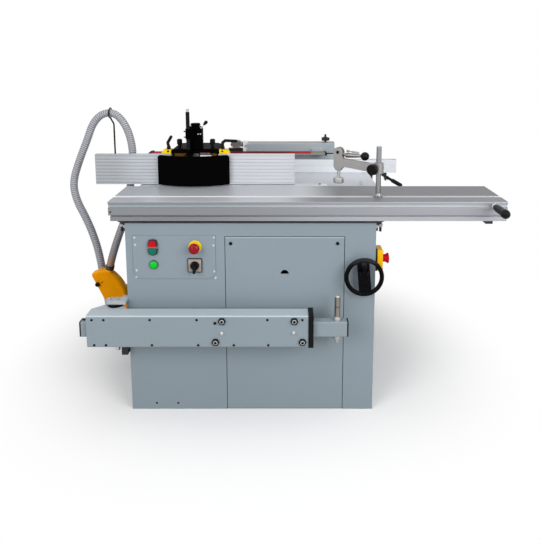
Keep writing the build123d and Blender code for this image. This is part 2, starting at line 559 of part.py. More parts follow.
# Saw arbor: shaft with pulley and flanges, carrying the toothed blade
tooth = 2 * pi / BLADE_TEETH
blade_points = []
for index in range(BLADE_TEETH):
    for turn, depth in [(0, 0), (0.12, 9), (0.5, 6)]:
        angle = (index + turn) * tooth
        blade_points.append(((BLADE_R - depth) * cos(angle), (BLADE_R - depth) * sin(angle)))
blade_face = Pos(BLADE_X, BLADE_Z) * (Polygon(*blade_points, align=None) - Circle(ARBOR_R))
blade = along_y(blade_face, BLADE_Y - BLADE_THICK / 2, BLADE_Y + BLADE_THICK / 2)
flange = BLADE_Y + BLADE_THICK / 2
arbor_outline = [
    (ARBOR_R, BLADE_Y - 18),
    (ARBOR_R, flange),
    (34, flange),
    (34, flange + 8),
    (20, flange + 10),
    (20, -158),
    (35, -158),
    (35, -143),
    (ARBOR_R, -143),
    (ARBOR_R, housing_back + 12),
]
arbor = turned(arbor_outline, (BLADE_X, 0, BLADE_Z), (0, 1, 0))
save("saw_arbor", arbor, blade)

# Moulder quill: fixed bearing housing hung from the table
quill = turned([(45, 600), (45, 800), (60, 806), (60, TABLE_TOP - 24)], (*SPINDLE, 0), (0, 0, 1))
quill -= bar((*SPINDLE, 590), (*SPINDLE, TABLE_TOP), SPINDLE_R + 0.06)
quill_flange = Pos(*SPINDLE) * (Circle(125) - Circle(40))
quill_flange -= rectangle(SPINDLE[0] - 130, SPINDLE[0] + 130, SPINDLE[1] - 130, MAIN_FRONT + 12)
quill += upright(quill_flange, CABINET_TOP, CABINET_TOP + 12)
save("moulder_quill", quill)

# Moulder spindle: shaft with pulley, spacer rings and the cutter block
spindle_outline = [
    (SPINDLE_R, 548),
    (42, 548),
    (42, 572),
    (SPINDLE_R, 572),
    (SPINDLE_R, 852),
    (24, 852),
    (24, 872),
    (CUTTER_R, 872),
    (CUTTER_R, 922),
    (24, 922),
    (24, 960),
    (SPINDLE_R, 960),
    (SPINDLE_R, 985),
]
spindle = turned(spindle_outline, (*SPINDLE, 0), (0, 0, 1))
for side in range(4):
    notch = Pos(*SPINDLE, 897) * Rot(0, 0, 90 * side) * Pos(CUTTER_R - 4, 9, 0) * Box(14, 12, 60)
    spindle -= notch
save("moulder_spindle", spindle)

# Drive motor of the moulder with its pulley, and the belt to the spindle
motor_y = 58
motor_outline = [(12, 540), (42, 540), (42, 572), (12, 572), (12, 600), (55, 600), (60, 606), (60, 752)]
save("drive_motor", turned(motor_outline, (SPINDLE[0], motor_y, 0), (0, 0, 1)))
belt = rectangle(SPINDLE[0] - 48, SPINDLE[0] + 48, SPINDLE[1], motor_y)
belt += Pos(*SPINDLE) * Circle(48)
belt += Pos(SPINDLE[0], motor_y) * Circle(48)
belt_hole = rectangle(SPINDLE[0] - 42.6, SPINDLE[0] + 42.6, SPINDLE[1], motor_y)
belt_hole += Pos(*SPINDLE) * Circle(42.6)
belt_hole += Pos(SPINDLE[0], motor_y) * Circle(42.6)
save("drive_belt", upright(belt - belt_hole, 550, 570))

# Moulder hood: dust hood with an open bottom, a mouth below its front lip and a rear spigot
hood_x = SPINDLE[0]
hood_plan = rectangle(hood_x - HOOD_HALF, hood_x + HOOD_HALF, HOOD_FRONT, HOOD_BACK)
hood_plan = fillet(hood_plan.vertices().sort_by(Axis.Y)[2:], HOOD_CORNER)
hood = upright(hood_plan, TABLE_TOP, HOOD_TOP)
hood = fillet(hood.faces().sort_by(Axis.Z)[-1].edges(), 12)
cavity_half = HOOD_HALF - HOOD_WALL
cavity_left, cavity_right = hood_x - cavity_half, hood_x + cavity_half
mouth_back = HOOD_FRONT + HOOD_WALL
cavity_plan = rectangle(cavity_left, cavity_right, mouth_back, HOOD_BACK - HOOD_WALL)
cavity_plan = fillet(cavity_plan.vertices().sort_by(Axis.Y)[2:], HOOD_CORNER - HOOD_WALL)
hood -= upright(cavity_plan, TABLE_TOP - 1, HOOD_TOP - HOOD_ROOF)
hood -= block((cavity_left, HOOD_FRONT - 1, TABLE_TOP - 1), (cavity_right, mouth_back + 1, HOOD_LIP))
spigot_z = 932
hood += bar((hood_x, HOOD_BACK - 3, spigot_z), (hood_x, HOOD_BACK + 50, spigot_z), 50)
hood -= bar((hood_x, HOOD_BACK - 30, spigot_z), (hood_x, HOOD_BACK + 51, spigot_z), 46)
save("moulder_hood", hood)

# Hood knobs: two fluted hand nuts on top of the hood
knob_outline = [(8, 0), (8, 12), (11.5, 14), (11.5, 32), (9, 36), (4, 37)]
hood_knobs = [turned(knob_outline, (knob_x, -85, HOOD_TOP), (0, 0, 1)) for knob_x in [-327, -184]]
save("hood_knobs", *hood_knobs)

# Fence clamps: yellow blocks at the hood's sides that hold the fences
clamp_w, clamp_high = 43, 1005
fence_clamps = []
for side in [-1, 1]:
    near = hood_x + side * HOOD_HALF
    far = near + side * clamp_w
    clamp_top = [(near, clamp_high), (far - side * 10, clamp_high), (far, clamp_high - 16)]
    outline = Polygon((near, 930), *clamp_top, (far, 930), align=None)
    fence_clamps.append(along_y(outline, HOOD_FRONT + 2, HOOD_FRONT + 44))
save("fence_clamps", *fence_clamps)

# Lock levers: ratchet handles on the fence clamps, the left one upright, the right one bent over
lever_y = HOOD_FRONT + 22
lever_r = 6.4
lever_bends = {
    "left_lock_lever": (-1, [(0, 10), (-4, 28), (11, 53)]),
    "right_lock_lever": (1, [(0, 10), (0, 28), (11, 37), (57, 35)]),
}
for name, (side, bends) in lever_bends.items():
    lever_x = hood_x + side * (HOOD_HALF + 13)
    lever = turned([(8.5, 0.3), (8.5, 10), (lever_r, 14)], (lever_x, lever_y, clamp_high), (0, 0, 1))
    corners = [(lever_x + across, lever_y, clamp_high + rise) for across, rise in bends]
    for start, end in zip(corners, corners[1:]):
        lever += bar(start, end, lever_r) + Pos(*end) * Sphere(lever_r)
    save(name, lever)

# Fences: ribbed aluminium profiles with clamp slots at the back
fence = rectangle(FENCE_FACE, FENCE_FACE + FENCE_THICK, FENCE_LOW, FENCE_HIGH)
groove_pitch = 14.2
for step in range(9):
    fence -= Pos(FENCE_FACE, FENCE_LOW + 7 + groove_pitch * step) * Rectangle(3, 3)
for slot_z in [FENCE_LOW + 36, FENCE_HIGH - 36]:
    fence -= Pos(FENCE_FACE + FENCE_THICK, slot_z) * Rectangle(12, 9)
    fence -= Pos(FENCE_FACE + FENCE_THICK - 9, slot_z) * Rectangle(7, 16)
save("left_fence", along_x(fence, *LEFT_FENCE))
save("right_fence", along_x(fence, *RIGHT_FENCE))

# Shield column: post with a round cap on the hood, a clamp boss round the shield rod, two grub screws
column_x, column_y = -253.5, -122
column_w, column_deep, column_top = 67, 46, 1103
column = upright(Pos(column_x, column_y) * RectangleRounded(column_w, column_deep, 10), HOOD_TOP, column_top)
shoulder = Pos(column_x + column_w / 2, column_y, column_top) * Rot(0, 45, 0)
column -= shoulder * Box(16, column_deep + 10, 16)
cap_outline = [(17, -1), (17, 4), (21, 5), (21, 11), (18, 14)]
column += turned(cap_outline, (column_x + 3, column_y, column_top), (0, 0, 1))
boss = Pos(*ROD) * Circle(ROD_R + 3) + rectangle(ROD[0] - 10, column_x, ROD[1], column_y)
column += upright(boss, 1055, 1098)
column -= bar((*ROD, 1050), (*ROD, 1120), ROD_R + 0.06)
for screw_z in [1063, 1087]:
    column += bar((ROD[0] - 18, ROD[1], screw_z), (ROD[0] - ROD_R - 2, ROD[1], screw_z), 2.5)
save("shield_column", column)

# Spindle shield: bowed guard plate with rounded top corners, its bracket and its rod
shield_left, shield_right = hood_x - SHIELD_HALF, hood_x + SHIELD_HALF
rear_y = SHIELD_CORNER_Y + SHIELD_THICK
front_left, front_right = (shield_left, SHIELD_CORNER_Y), (shield_right, SHIELD_CORNER_Y)
rear_left, rear_right = (shield_left, rear_y), (shield_right, rear_y)
bow = make_face(
    [
        ThreePointArc(front_left, (hood_x, SHIELD_BULGE_Y), front_right),
        Line(front_right, rear_right),
        ThreePointArc(rear_right, (hood_x, SHIELD_BULGE_Y + SHIELD_THICK), rear_left),
        Line(rear_left, front_left),
    ]
)
shield = upright(bow, SHIELD_LOW, SHIELD_HIGH)
shield_face = rectangle(hood_x - SHIELD_HALF - 1, hood_x + SHIELD_HALF + 1, SHIELD_LOW, SHIELD_HIGH)
shield_face = fillet(shield_face.vertices().sort_by(Axis.Y)[2:], 16)
shield &= along_y(shield_face, SHIELD_BULGE_Y - 10, SHIELD_CORNER_Y + 10)
shield += block(
    (ROD[0] - 13, SHIELD_BULGE_Y + SHIELD_THICK, SHIELD_HIGH - 14),
    (ROD[0] + 13, ROD[1] + 10, SHIELD_HIGH - 2),
)
shield += bar((*ROD, SHIELD_HIGH - 8), (*ROD, ROD_TOP - 12), ROD_R)
tip_outline = [(4, ROD_TOP - 13), (4, ROD_TOP - 6), (6.5, ROD_TOP - 4), (6.5, ROD_TOP)]
shield += turned(tip_outline, (*ROD, 0), (0, 0, 1))
save("spindle_shield", shield)

# Planer base: closed lower housing with two cheeks that carry the tables and the cutterblock
base_top = 400
cheek_top = TABLE_TOP - 22
base_back = PLANER_BACK - 20
planer_base = block((-PLANER_HALF - 40, CABINET_BACK, 0), (PLANER_HALF + 40, base_back, base_top))
bed_y = (PLANER_FRONT + base_back) / 2
hollow = block((-PLANER_HALF - 36, CABINET_BACK + 4, 6), (PLANER_HALF + 36, base_back - 4, base_top - 8))
planer_base -= hollow - bar((0, bed_y, 0), (0, bed_y, base_top), 42)
for cheek_front in [PLANER_FRONT, base_back - PLANER_CHEEK]:
    cheek_rear = cheek_front + PLANER_CHEEK
    planer_base += block((-PLANER_HALF, cheek_front, base_top - 1), (PLANER_HALF, cheek_rear, cheek_top))
planer_base -= bar((0, bed_y, 40), (0, bed_y, base_top + 1), 30.3)
block_x, block_z = CUTTERBLOCK
planer_base -= bar((block_x, PLANER_FRONT - 1, block_z), (block_x, PLANER_BACK, block_z), JOURNAL_R + 0.06)
save("planer_base", planer_base)

# Planer tables: two plates with a gap over the cutterblock
table_gap = CUTTERBLOCK_R + 6
table_front = PLANER_FRONT - 2
infeed = block((-500, table_front, cheek_top), (block_x - table_gap, PLANER_BACK, TABLE_TOP))
outfeed = block((block_x + table_gap, table_front, cheek_top), (510, PLANER_BACK, TABLE_TOP))
planer_tables = [chamfer(table.edges().filter_by(Axis.Z), 8) for table in [infeed, outfeed]]
save("planer_tables", *planer_tables)

# Cutterblock: cylinder with four knife slots on two journals
block_front, block_back = PLANER_FRONT + PLANER_CHEEK + 3, base_back - PLANER_CHEEK - 3
cutterblock = bar((block_x, block_front, block_z), (block_x, block_back, block_z), CUTTERBLOCK_R)
for side in range(4):
    knife_turn = Pos(block_x, (block_front + block_back) / 2, block_z) * Rot(0, 90 * side, 0)
    cutterblock -= knife_turn * Pos(CUTTERBLOCK_R - 3, 0, 0) * Box(12, block_back - block_front + 2, 9)
cutterblock += bar((block_x, PLANER_FRONT + 1, block_z), (block_x, base_back - 1, block_z), JOURNAL_R)
save("cutterblock", cutterblock)

# Thicknesser bed: plate on a lifting column
bed_margin = 6
bed_front = PLANER_FRONT + PLANER_CHEEK + bed_margin
bed_back = base_back - PLANER_CHEEK - bed_margin
bed = block((-240, bed_front, BED_Z), (240, bed_back, BED_Z + 25))
bed += bar((0, bed_y, 220), (0, bed_y, BED_Z + 1), 30)
save("thicknesser_bed", bed)

# Bridge guard bracket: upright block on the planer table with its oval clamp hub and a cross bar
bracket = block((-78, 262, TABLE_TOP), (-53, 298, 982))
bracket += block((-140, 256, TABLE_TOP), (-53, 304, TABLE_TOP + 8))
bracket += along_y(Pos(-111, 968) * Ellipse(29, 19), 262, 292)
bracket += block((-111, 268, 955), (-70, 286, 978))
bracket += block((-150, 264, 922), (-77, 290, 948))
save("guard_bracket", bracket)

# Bridge guard arm: painted box arm with the clip that holds the plate, and the star knob on its end
arm_left, arm_right = -52.5, 374
guard_arm = fillet(rectangle(250, 310, 902, 977).vertices(), 6)
guard_arm -= rectangle(253.5, 306.5, 900, 973)
planer_guard_arm = along_x(guard_arm, arm_left, arm_right)
clip_left, clip_right = 262, 318
clip = rectangle(224, 251, 920, 946) - rectangle(223, 233, 927.4, 938.6)
planer_guard_arm += along_x(clip, clip_left, clip_right)
star = turned([(5, 977), (5, 984), (14, 984), (14, 1000), (7, 1004)], (330, 280, 0), (0, 0, 1))
for point in range(5):
    lobe_angle = 2 * pi * point / 5
    star += Pos(330 + 15 * cos(lobe_angle), 280 + 15 * sin(lobe_angle), 992) * Cylinder(6, 14)
star += bar((330, 280, 1003), (330, 280, 1016), 5)
save("planer_guard_arm", planer_guard_arm + star)

# Bridge guard plate: long red plate with a black cap at each end and a stop rod at the right
plate_left, plate_right = -519, 331
cap_length = 9
plate_section = rectangle(165, 232, 928, 938)
plate_section = fillet(plate_section.vertices().sort_by(Axis.X)[:2], 4)
guard_plate = along_x(plate_section, plate_left + cap_length, plate_right - cap_length)
left_cap = along_x(rectangle(163, 234, 925, 942), plate_left - 5, plate_left + cap_length)
right_cap = along_x(plate_section, plate_right - cap_length, plate_right)
right_cap += bar((plate_right - 1, 198, 933), (376, 198, 933), 2.6)
save("planer_guard_plate", guard_plate, left_cap, right_cap)

# Rip fence rail: flat guide bar along the right edge of the main table
guide_back = MAIN_BACK - 5
save("rip_fence_rail", block((MAIN_RIGHT, MAIN_FRONT + 8, 815), (MAIN_RIGHT + GUIDE_BAR, guide_back, 845)))

# Rip fence: aluminium profile on a head that hooks over the guide bar
fence_y, fence_top = 84, 924
fence_left, fence_right = -50, 649
fence_section = Polygon(
    (fence_y, TABLE_TOP + 1),
    (fence_y, 890),
    (fence_y + 1.5, 891),
    (fence_y + 1.5, 893),
    (fence_y, 894),
    (fence_y, fence_top),
    (fence_y + 14, fence_top),
    (fence_y + 14, 886),
    (fence_y + 42, 886),
    (fence_y + 42, TABLE_TOP + 1),
    align=None,
)
rip_fence = along_x(fence_section, fence_left, fence_right)
head_clear = 0.5
hook_near, hook_far = MAIN_RIGHT + head_clear, MAIN_RIGHT + GUIDE_BAR + head_clear
head_end, head_low = 606, 822
head_top = TABLE_TOP + 2
rip_fence += along_y(
    Polygon(
        (hook_near, head_top),
        (head_end, head_top),
        (head_end, head_low),
        (head_end - 7, head_low),
        (head_end - 7, 834),
        (head_end - 28, 849),
        (hook_far + 14, 849),
        (hook_far + 14, 812),
        (hook_far, 812),
        (hook_far, 845 + head_clear),
        (hook_near, 845 + head_clear),
        align=None,
    ),
    fence_y + 4,
    fence_y + 41,
)
save("rip_fence", rip_fence)

# Rip fence lever: black cam lever with a thick grip on the head
rip_lever_y = fence_y + 23
lever_pivot = (614, 832)
grip_start, grip_end = (636, rip_lever_y, 819), (676, rip_lever_y, 796)
rip_lever = along_y(Pos(*lever_pivot) * Circle(7.6), fence_y + 12, fence_y + 34)
rip_lever += bar((lever_pivot[0], rip_lever_y, lever_pivot[1]), grip_start, 6.5)
rip_lever += bar(grip_start, grip_end, 9.5) + Pos(*grip_end) * Sphere(9.5)
save("rip_fence_lever", rip_lever)

# Saw guard: moulded hood stored nose down, open along its straight side, with a hose spigot
guard_back, guard_thick, guard_wall = -178, 44, 3
tip = (-694, 480)
lean = radians(65)
guard_plane = Plane(origin=(tip[0], guard_back, tip[1]), x_dir=(cos(lean), 0, -sin(lean)), z_dir=(0, -1, 0))


def guard_outline(inset):
    """Side view of the guard: straight edge, rounded rear, crowned back and a rounded nose."""
    crown_start, crown_end = (45, 83 - inset), (178, 79 - inset)
    nose_end, rear_end = (298 - inset, -inset), (inset, -inset)
    rear_low = (inset, 23)
    crown = ThreePointArc(crown_start, (100, 95 - inset), crown_end)
    nose = ThreePointArc(crown_end, (255, 47 - inset), nose_end)
    rear = ThreePointArc(rear_low, (13 + 0.7 * inset, 59 - 0.7 * inset), crown_start)
    return make_face([crown, nose, Line(nose_end, rear_end), Line(rear_end, rear_low), rear])


def rounded_front(solid, radius):
    """Round the curved edges of a guard's front face."""
    front_edges = solid.faces().sort_by(Axis.Y)[0].edges()
    return fillet(front_edges.filter_by(GeomType.CIRCLE), radius)


front_round = 10
saw_guard = rounded_front(extrude(guard_plane * guard_outline(0), guard_thick), front_round)
hollow = extrude(guard_plane.offset(guard_wall) * guard_outline(guard_wall), guard_thick - 2 * guard_wall)
saw_guard -= rounded_front(hollow, front_round - guard_wall)
spigot_base = guard_plane.from_local_coords((21, 68, guard_thick / 2))
spigot_dir = guard_plane.from_local_coords((21 - 0.788, 68 + 0.616, guard_thick / 2)) - spigot_base
hose_start = spigot_base + spigot_dir * 16
saw_guard += bar(spigot_base - spigot_dir * 2, hose_start, HOSE_R)
saw_guard -= bar(spigot_base - spigot_dir * 14, hose_start + spigot_dir, HOSE_BORE_R)
save("saw_guard", saw_guard)

# Dust hose: ribbed hose from the guard over the hanger to the chute, by straight runs and wide arcs
hose_points = [
    hose_start,
    hose_start + spigot_dir * 2 * HOSE_R,
    Vector(-588, -178, 625),
    Vector(-562, -140, 706),
    Vector(-548, -110, 800),
    Vector(-538, -92, 900),
    Vector(-532, -80, 985),
    Vector(-545, -72, 1058),
    Vector(-572, -66, 1118),
    Vector(-613, -61, 1157),
    Vector(-667, -61, 1152),
    Vector(-708, -64, 1108),
    Vector(-733, -68, 1038),
    Vector(-770, -74, 950),
    Vector(-802, -82, 852),
    Vector(-786, -95, 775),
    Vector(-740, -112, 695),
    Vector(-710, -122, 624),
    Vector(-687, -130, 548),
    Vector(-678, -130, 484),
]
runs = [after - before for before, after in zip(hose_points, hose_points[1:])]
bend_radii = []
for before, after in zip(runs, runs[1:]):
    half_turn = radians(before.get_angle(after)) / 2
    bend_radii.append(0.45 * min(before.length, after.length) / tan(half_turn))
print("hose bend radii", [round(radius) for radius in bend_radii])
hose_path = FilletPolyline(*hose_points, radius=bend_radii)
hose_length = hose_path.length
print("hose length", round(hose_length))
root_r = HOSE_R - 1.6
end_share = 2 * HOSE_R / hose_length
pitch = (1 - 2 * end_share) / HOSE_RIBS


def hose_ring(share, radius):
    """A circle square to the hose at a share of its length, on a steady X axis."""
    return Plane(origin=hose_path @ share, x_dir=(0, 1, 0), z_dir=hose_path % share) * Circle(radius)


rings = [hose_ring(0, root_r)]
for rib in range(HOSE_RIBS):
    rib_start = end_share + rib * pitch
    rings.append(hose_ring(rib_start, root_r))
    rings.append(hose_ring(rib_start + 0.2 * pitch, HOSE_R))
    rings.append(hose_ring(rib_start + (0.2 + HOSE_CREST) * pitch, HOSE_R))
    rings.append(hose_ring(rib_start + (0.4 + HOSE_CREST) * pitch, root_r))
rings.append(hose_ring(1, root_r))
hose = loft(rings, ruled=True)
hose -= sweep(Plane(origin=hose_path @ 0, z_dir=hose_path % 0) * Circle(HOSE_BORE_R), path=hose_path)
save("dust_hose", hose)

# Hose hanger: bent rod on the main table with a ring round the hose
ring_share = 0.485
ring_at = hose_path @ ring_share
hanger_y, hanger_z = ring_at.Y, TABLE_TOP + 8
rod_r = 3.5
ring_gap = 1.0
ring_section = Plane.XZ * (Pos(HOSE_R + ring_gap + rod_r, 0) * Circle(2.6))
hanger_ring = Plane(origin=ring_at, z_dir=hose_path % ring_share) * revolve(ring_section, Axis.Z)
ring_low = ring_at.Z - HOSE_R - ring_gap - rod_r
rod_x = ring_at.X + 14
rod_corners = [(-440, hanger_y, hanger_z), (rod_x, hanger_y, hanger_z)]
rod_corners += [(rod_x, hanger_y, ring_low - 26), (ring_at.X, hanger_y, ring_low)]
rod_path = FilletPolyline(*rod_corners, radius=[25, 12])
hanger = sweep(Plane(origin=rod_path @ 0, z_dir=rod_path % 0) * Circle(rod_r), path=rod_path)
hanger += hanger_ring
hanger += block((-476, hanger_y - 15, TABLE_TOP), (-430, hanger_y + 15, TABLE_TOP + 6))
save("hose_hanger", hanger)

# Dust chute: sheet hopper on the left wall with the large outlet, the small hose pipe and the guard strap
chute_front, chute_back = -172, -60
chute_side = [(-480, 155), (-600, 155), (-600, 275), (-630, 330), (-612, 372), (-480, 372)]
chute_plan = Polygon(*chute_side, align=None)
chute = along_y(chute_plan, chute_front, chute_back)
outlet_y, outlet_z = (chute_front + chute_back) / 2, 215
pipe_dir = hose_path % 1
pipe_top = hose_points[-1]
pipe_end = pipe_top + pipe_dir * 195
chute += bar(pipe_top, pipe_end, HOSE_R)
chute += bar((-640, outlet_y, outlet_z), (-598, outlet_y, outlet_z), CHUTE_OUTLET_R)
chute_inside = offset(chute_plan, amount=-SHEET, kind=Kind.INTERSECTION) + rectangle(-500, -480, 210, 330)
chute -= along_y(chute_inside, -155, -80)
chute -= bar((-641, outlet_y, outlet_z), (-560, outlet_y, outlet_z), CHUTE_OUTLET_R - 3)
chute -= bar(pipe_top - pipe_dir, pipe_end, HOSE_BORE_R)
chute += block((-610, guard_back, 345), (-480, chute_front, 385))
save("dust_chute", chute)
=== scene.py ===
from bisect import bisect_right
from math import cos, pi, radians

import bmesh
import bpy
from mathutils import Matrix, Vector


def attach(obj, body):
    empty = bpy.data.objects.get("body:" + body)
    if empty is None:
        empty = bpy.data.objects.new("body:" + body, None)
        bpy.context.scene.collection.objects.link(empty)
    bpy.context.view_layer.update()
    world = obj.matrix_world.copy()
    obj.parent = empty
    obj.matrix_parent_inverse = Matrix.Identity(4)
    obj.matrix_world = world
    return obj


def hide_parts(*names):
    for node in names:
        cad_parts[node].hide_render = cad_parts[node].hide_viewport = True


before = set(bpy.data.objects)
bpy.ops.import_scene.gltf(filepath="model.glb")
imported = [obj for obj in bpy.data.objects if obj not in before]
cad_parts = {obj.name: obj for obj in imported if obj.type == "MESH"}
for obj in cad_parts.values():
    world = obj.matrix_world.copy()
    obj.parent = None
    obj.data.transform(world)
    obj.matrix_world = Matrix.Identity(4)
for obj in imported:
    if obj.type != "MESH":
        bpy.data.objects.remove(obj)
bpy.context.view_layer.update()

# The picture is taken from a little above the tables, square to the front wall.
# The lens looks almost level, and the frame is shifted down so that the sides of the cabinet
# stay nearly upright.
CAMERA_PITCH = 9.0
camera_data = bpy.data.cameras.new("front_camera")
camera_data.lens = 38.74
camera_data.shift_x = -0.0306
camera_data.shift_y = -0.2254
camera = bpy.data.objects.new("front_camera", camera_data)
camera.location = (0.1372, -2.5816, 1.3984)
camera.rotation_euler = (radians(90 - CAMERA_PITCH), 0, 0)
bpy.context.collection.objects.link(camera)
bpy.context.scene.camera = camera
bpy.context.scene.view_settings.view_transform = "Standard"

# Two large soft boxes light the machine from the front left and right, and one hangs above it.
# They stand far off, so that shadows are short and soft.
LAMPS = [
    ("left_softbox", (-2.2, -3.3, 2.3), 2.4, 78),
    ("right_softbox", (2.4, -3.0, 2.1), 2.4, 86),
    ("top_softbox", (0.1, -0.6, 3.6), 2.8, 30),
]
LAMP_AIM = Vector((0.1, -0.1, 0.7))
for lamp_name, lamp_place, lamp_size, lamp_power in LAMPS:
    lamp_data = bpy.data.lights.new(lamp_name, "AREA")
    lamp_data.size = lamp_size
    lamp_data.energy = lamp_power
    lamp = bpy.data.objects.new(lamp_name, lamp_data)
    lamp.location = lamp_place
    aim = LAMP_AIM - Vector(lamp_place)
    lamp.rotation_euler = aim.to_track_quat("-Z", "Y").to_euler()
    bpy.context.collection.objects.link(lamp)


# The machine stands in an even white room.
# The camera, mirrors and glass see the room as clean white, and the rest of its light is lower.
class Tone:
    """A value, colour or place over a surface; sums, products and comparisons add nodes."""

    def __init__(self, tree, socket):
        self.tree = tree
        self.socket = socket

    def node(self, kind, settings, inputs, output=0):
        """Add a node of this kind, with its settings, then a value or a link for each input."""
        added = self.tree.nodes.new(kind)
        for name, value in settings.items():
            setattr(added, name, value)
        for name, value in inputs.items():
            if isinstance(value, Tone):
                self.tree.links.new(value.socket, added.inputs[name])
            else:
                added.inputs[name].default_value = value
        return Tone(self.tree, added.outputs[output])

    def maths(self, operation, first, second):
        return self.node("ShaderNodeMath", {"operation": operation}, {0: first, 1: second})

    def __add__(self, other):
        return self.maths("ADD", self, other)

    def __sub__(self, other):
        return self.maths("SUBTRACT", self, other)

    def __mul__(self, other):
        return self.maths("MULTIPLY", self, other)

    def __rsub__(self, other):
        return self.maths("SUBTRACT", other, self)

    def __gt__(self, other):
        return self.maths("GREATER_THAN", self, other)

    def __lt__(self, other):
        return self.maths("LESS_THAN", self, other)

    __radd__ = __add__
    __rmul__ = __mul__

    def most(self, other):
        """The larger of two values; of two masks, where either holds."""
        return self.maths("MAXIMUM", self, other)

    def axis(self, name):
        """One coordinate of a place: X, Y or Z."""
        return self.node("ShaderNodeSeparateXYZ", {}, {0: self}, name)

    def between(self, name, low, high):
        """1 where a coordinate of a place lies between two values."""
        coordinate = self.axis(name)
        return (coordinate > low) * (coordinate < high)

    def rise(self, name, low, high):
        """A value that rises from 0 to 1 as a coordinate of a place goes from low to high."""
        return self.axis(name).climb(low, high)

    def climb(self, low, high):
        """A value that rises smoothly from 0 to 1 as this one goes from low to high."""
        span = {"Value": self, "From Min": low, "From Max": high}
        return self.node("ShaderNodeMapRange", {"interpolation_type": "SMOOTHSTEP"}, span)

    def apart(self, spot):
        """The distance from a place to a fixed spot."""
        return self.node("ShaderNodeVectorMath", {"operation": "DISTANCE"}, {0: self, 1: spot}, "Value")

    def mix(self, low, high):
        """A colour that goes from low to high as this value goes from 0 to 1."""
        return self.node("ShaderNodeMix", {"data_type": "RGBA"}, {0: self, 6: low, 7: high}, 2)

    def noise(self, scale, detail=2.0):
        """A soft random value at this place; scale is in patches per metre along X, Y and Z."""
        stretched = self.node("ShaderNodeMapping", {}, {"Vector": self, "Scale": scale})
        return self.node("ShaderNodeTexNoise", {}, {"Vector": stretched, "Scale": 1.0, "Detail": detail})

    def bump(self, distance, edge):
        """A surface normal that follows this height, on edges rounded to a radius."""
        rounded = self.node("ShaderNodeBevel", {"samples": 4}, {"Radius": edge})
        return self.node("ShaderNodeBump", {}, {"Height": self, "Distance": distance, "Normal": rounded})

    def feed(self, shader, name):
        """Link this to an input of the shader."""
        self.tree.links.new(self.socket, shader.inputs[name])


RAY_KINDS = ("Camera", "Glossy", "Transmission")


def rays_that_see(tree):
    """1 for the rays of the camera, of mirrors and of clear things."""
    rays = tree.nodes.new("ShaderNodeLightPath").outputs
    camera_ray, glossy_ray, clear_ray = [Tone(tree, rays[f"Is {kind} Ray"]) for kind in RAY_KINDS]
    return camera_ray.most(glossy_ray).most(clear_ray)


ROOM_LIGHT = 0.34
room = bpy.data.worlds.new("white_room")
room.use_nodes = True
sky = room.node_tree.nodes["Background"]
sky.inputs["Color"].default_value = (1, 1, 1, 1)
(ROOM_LIGHT + (1 - ROOM_LIGHT) * rays_that_see(room.node_tree)).feed(sky, "Strength")
bpy.context.scene.world = room

# The floor is a plain pale sheet, wide enough to run out of the picture.
# It keeps the soft shadow of the machine.
FLOOR_HALF = 30.0
floor_mesh = bmesh.new()
bmesh.ops.create_grid(floor_mesh, x_segments=1, y_segments=1, size=FLOOR_HALF)
floor_data = bpy.data.meshes.new("studio_floor")
floor_mesh.to_mesh(floor_data)
floor_mesh.free()
floor = bpy.data.objects.new("studio_floor", floor_data)
bpy.context.collection.objects.link(floor)
floor_paint = bpy.data.materials.new("pale_floor")
floor_paint.use_nodes = True
floor_tree = floor_paint.node_tree
floor_shader = floor_tree.nodes["Principled BSDF"]
floor_shader.inputs["Roughness"].default_value = 0.9
floor_shader.inputs["Specular IOR Level"].default_value = 0.0
floor_place = Tone(floor_tree, floor_tree.nodes.new("ShaderNodeTexCoord").outputs["Object"])
NEAR_FLOOR, FAR_FLOOR = 0.5, 1.25
floor_far = floor_place.apart((0, 0, 0)).climb(NEAR_FLOOR, FAR_FLOOR)
floor_white = floor_place.node("ShaderNodeEmission", {}, {"Color": (1, 1, 1, 1), "Strength": 1.0})
floor_plain = Tone(floor_tree, floor_shader.outputs["BSDF"])
floor_seen = rays_that_see(floor_tree)
DULL_FLOOR, PALE_FLOOR = (0.5, 0.5, 0.5, 1), (0.95, 0.95, 0.95, 1)
floor_seen.mix(DULL_FLOOR, PALE_FLOOR).feed(floor_shader, "Base Color")
floor_mix = {0: floor_far * floor_seen, 1: floor_plain, 2: floor_white}
floor_blend = floor_place.node("ShaderNodeMixShader", {}, floor_mix)
floor_blend.feed(floor_tree.nodes["Material Output"], "Surface")
floor_data.materials.append(floor_paint)


# The cabinet is a welded box of folded sheet steel, and its front cover is a flush sheet with two screws.
# Both are powder coated in a blue-grey, as are the panel, the arm, the chute and the planer's housing.
# Painted shade darkens the walls of the gap round the cover, and the rim of the chute's pipe is paler.
def new_finish(name, roughness, metallic=0.0, shine=0.5):
    """Start a material; gives it, its shader and the place on the surface in metres."""
    material = bpy.data.materials.new(name)
    material.use_nodes = True
    tree = material.node_tree
    shader = tree.nodes["Principled BSDF"]
    shader.inputs["Roughness"].default_value = roughness
    shader.inputs["Metallic"].default_value = metallic
    shader.inputs["Specular IOR Level"].default_value = shine
    place = Tone(tree, tree.nodes.new("ShaderNodeTexCoord").outputs["Object"])
    return material, shader, place


def dress(material, *nodes):
    """Give solids of the frame a finish."""
    for node in nodes:
        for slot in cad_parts[node].material_slots:
            slot.material = material


def patched(place, colour, spread, scale, patches):
    """A clouded colour with flat patches on it, each a mask maker and the colour that it lays on."""
    light = [min(1.0, part * (1 + spread)) for part in colour]
    dark = [part * (1 - spread) for part in colour]
    shade = place.noise(scale).mix((*dark, 1), (*light, 1))
    for where, patch_colour in patches:
        shade = where(place).mix(shade, (*patch_colour, 1))
    return shade


COAT_CLOUD = (2.5, 2.5, 2.5)
COAT_PEEL = (600, 600, 600)


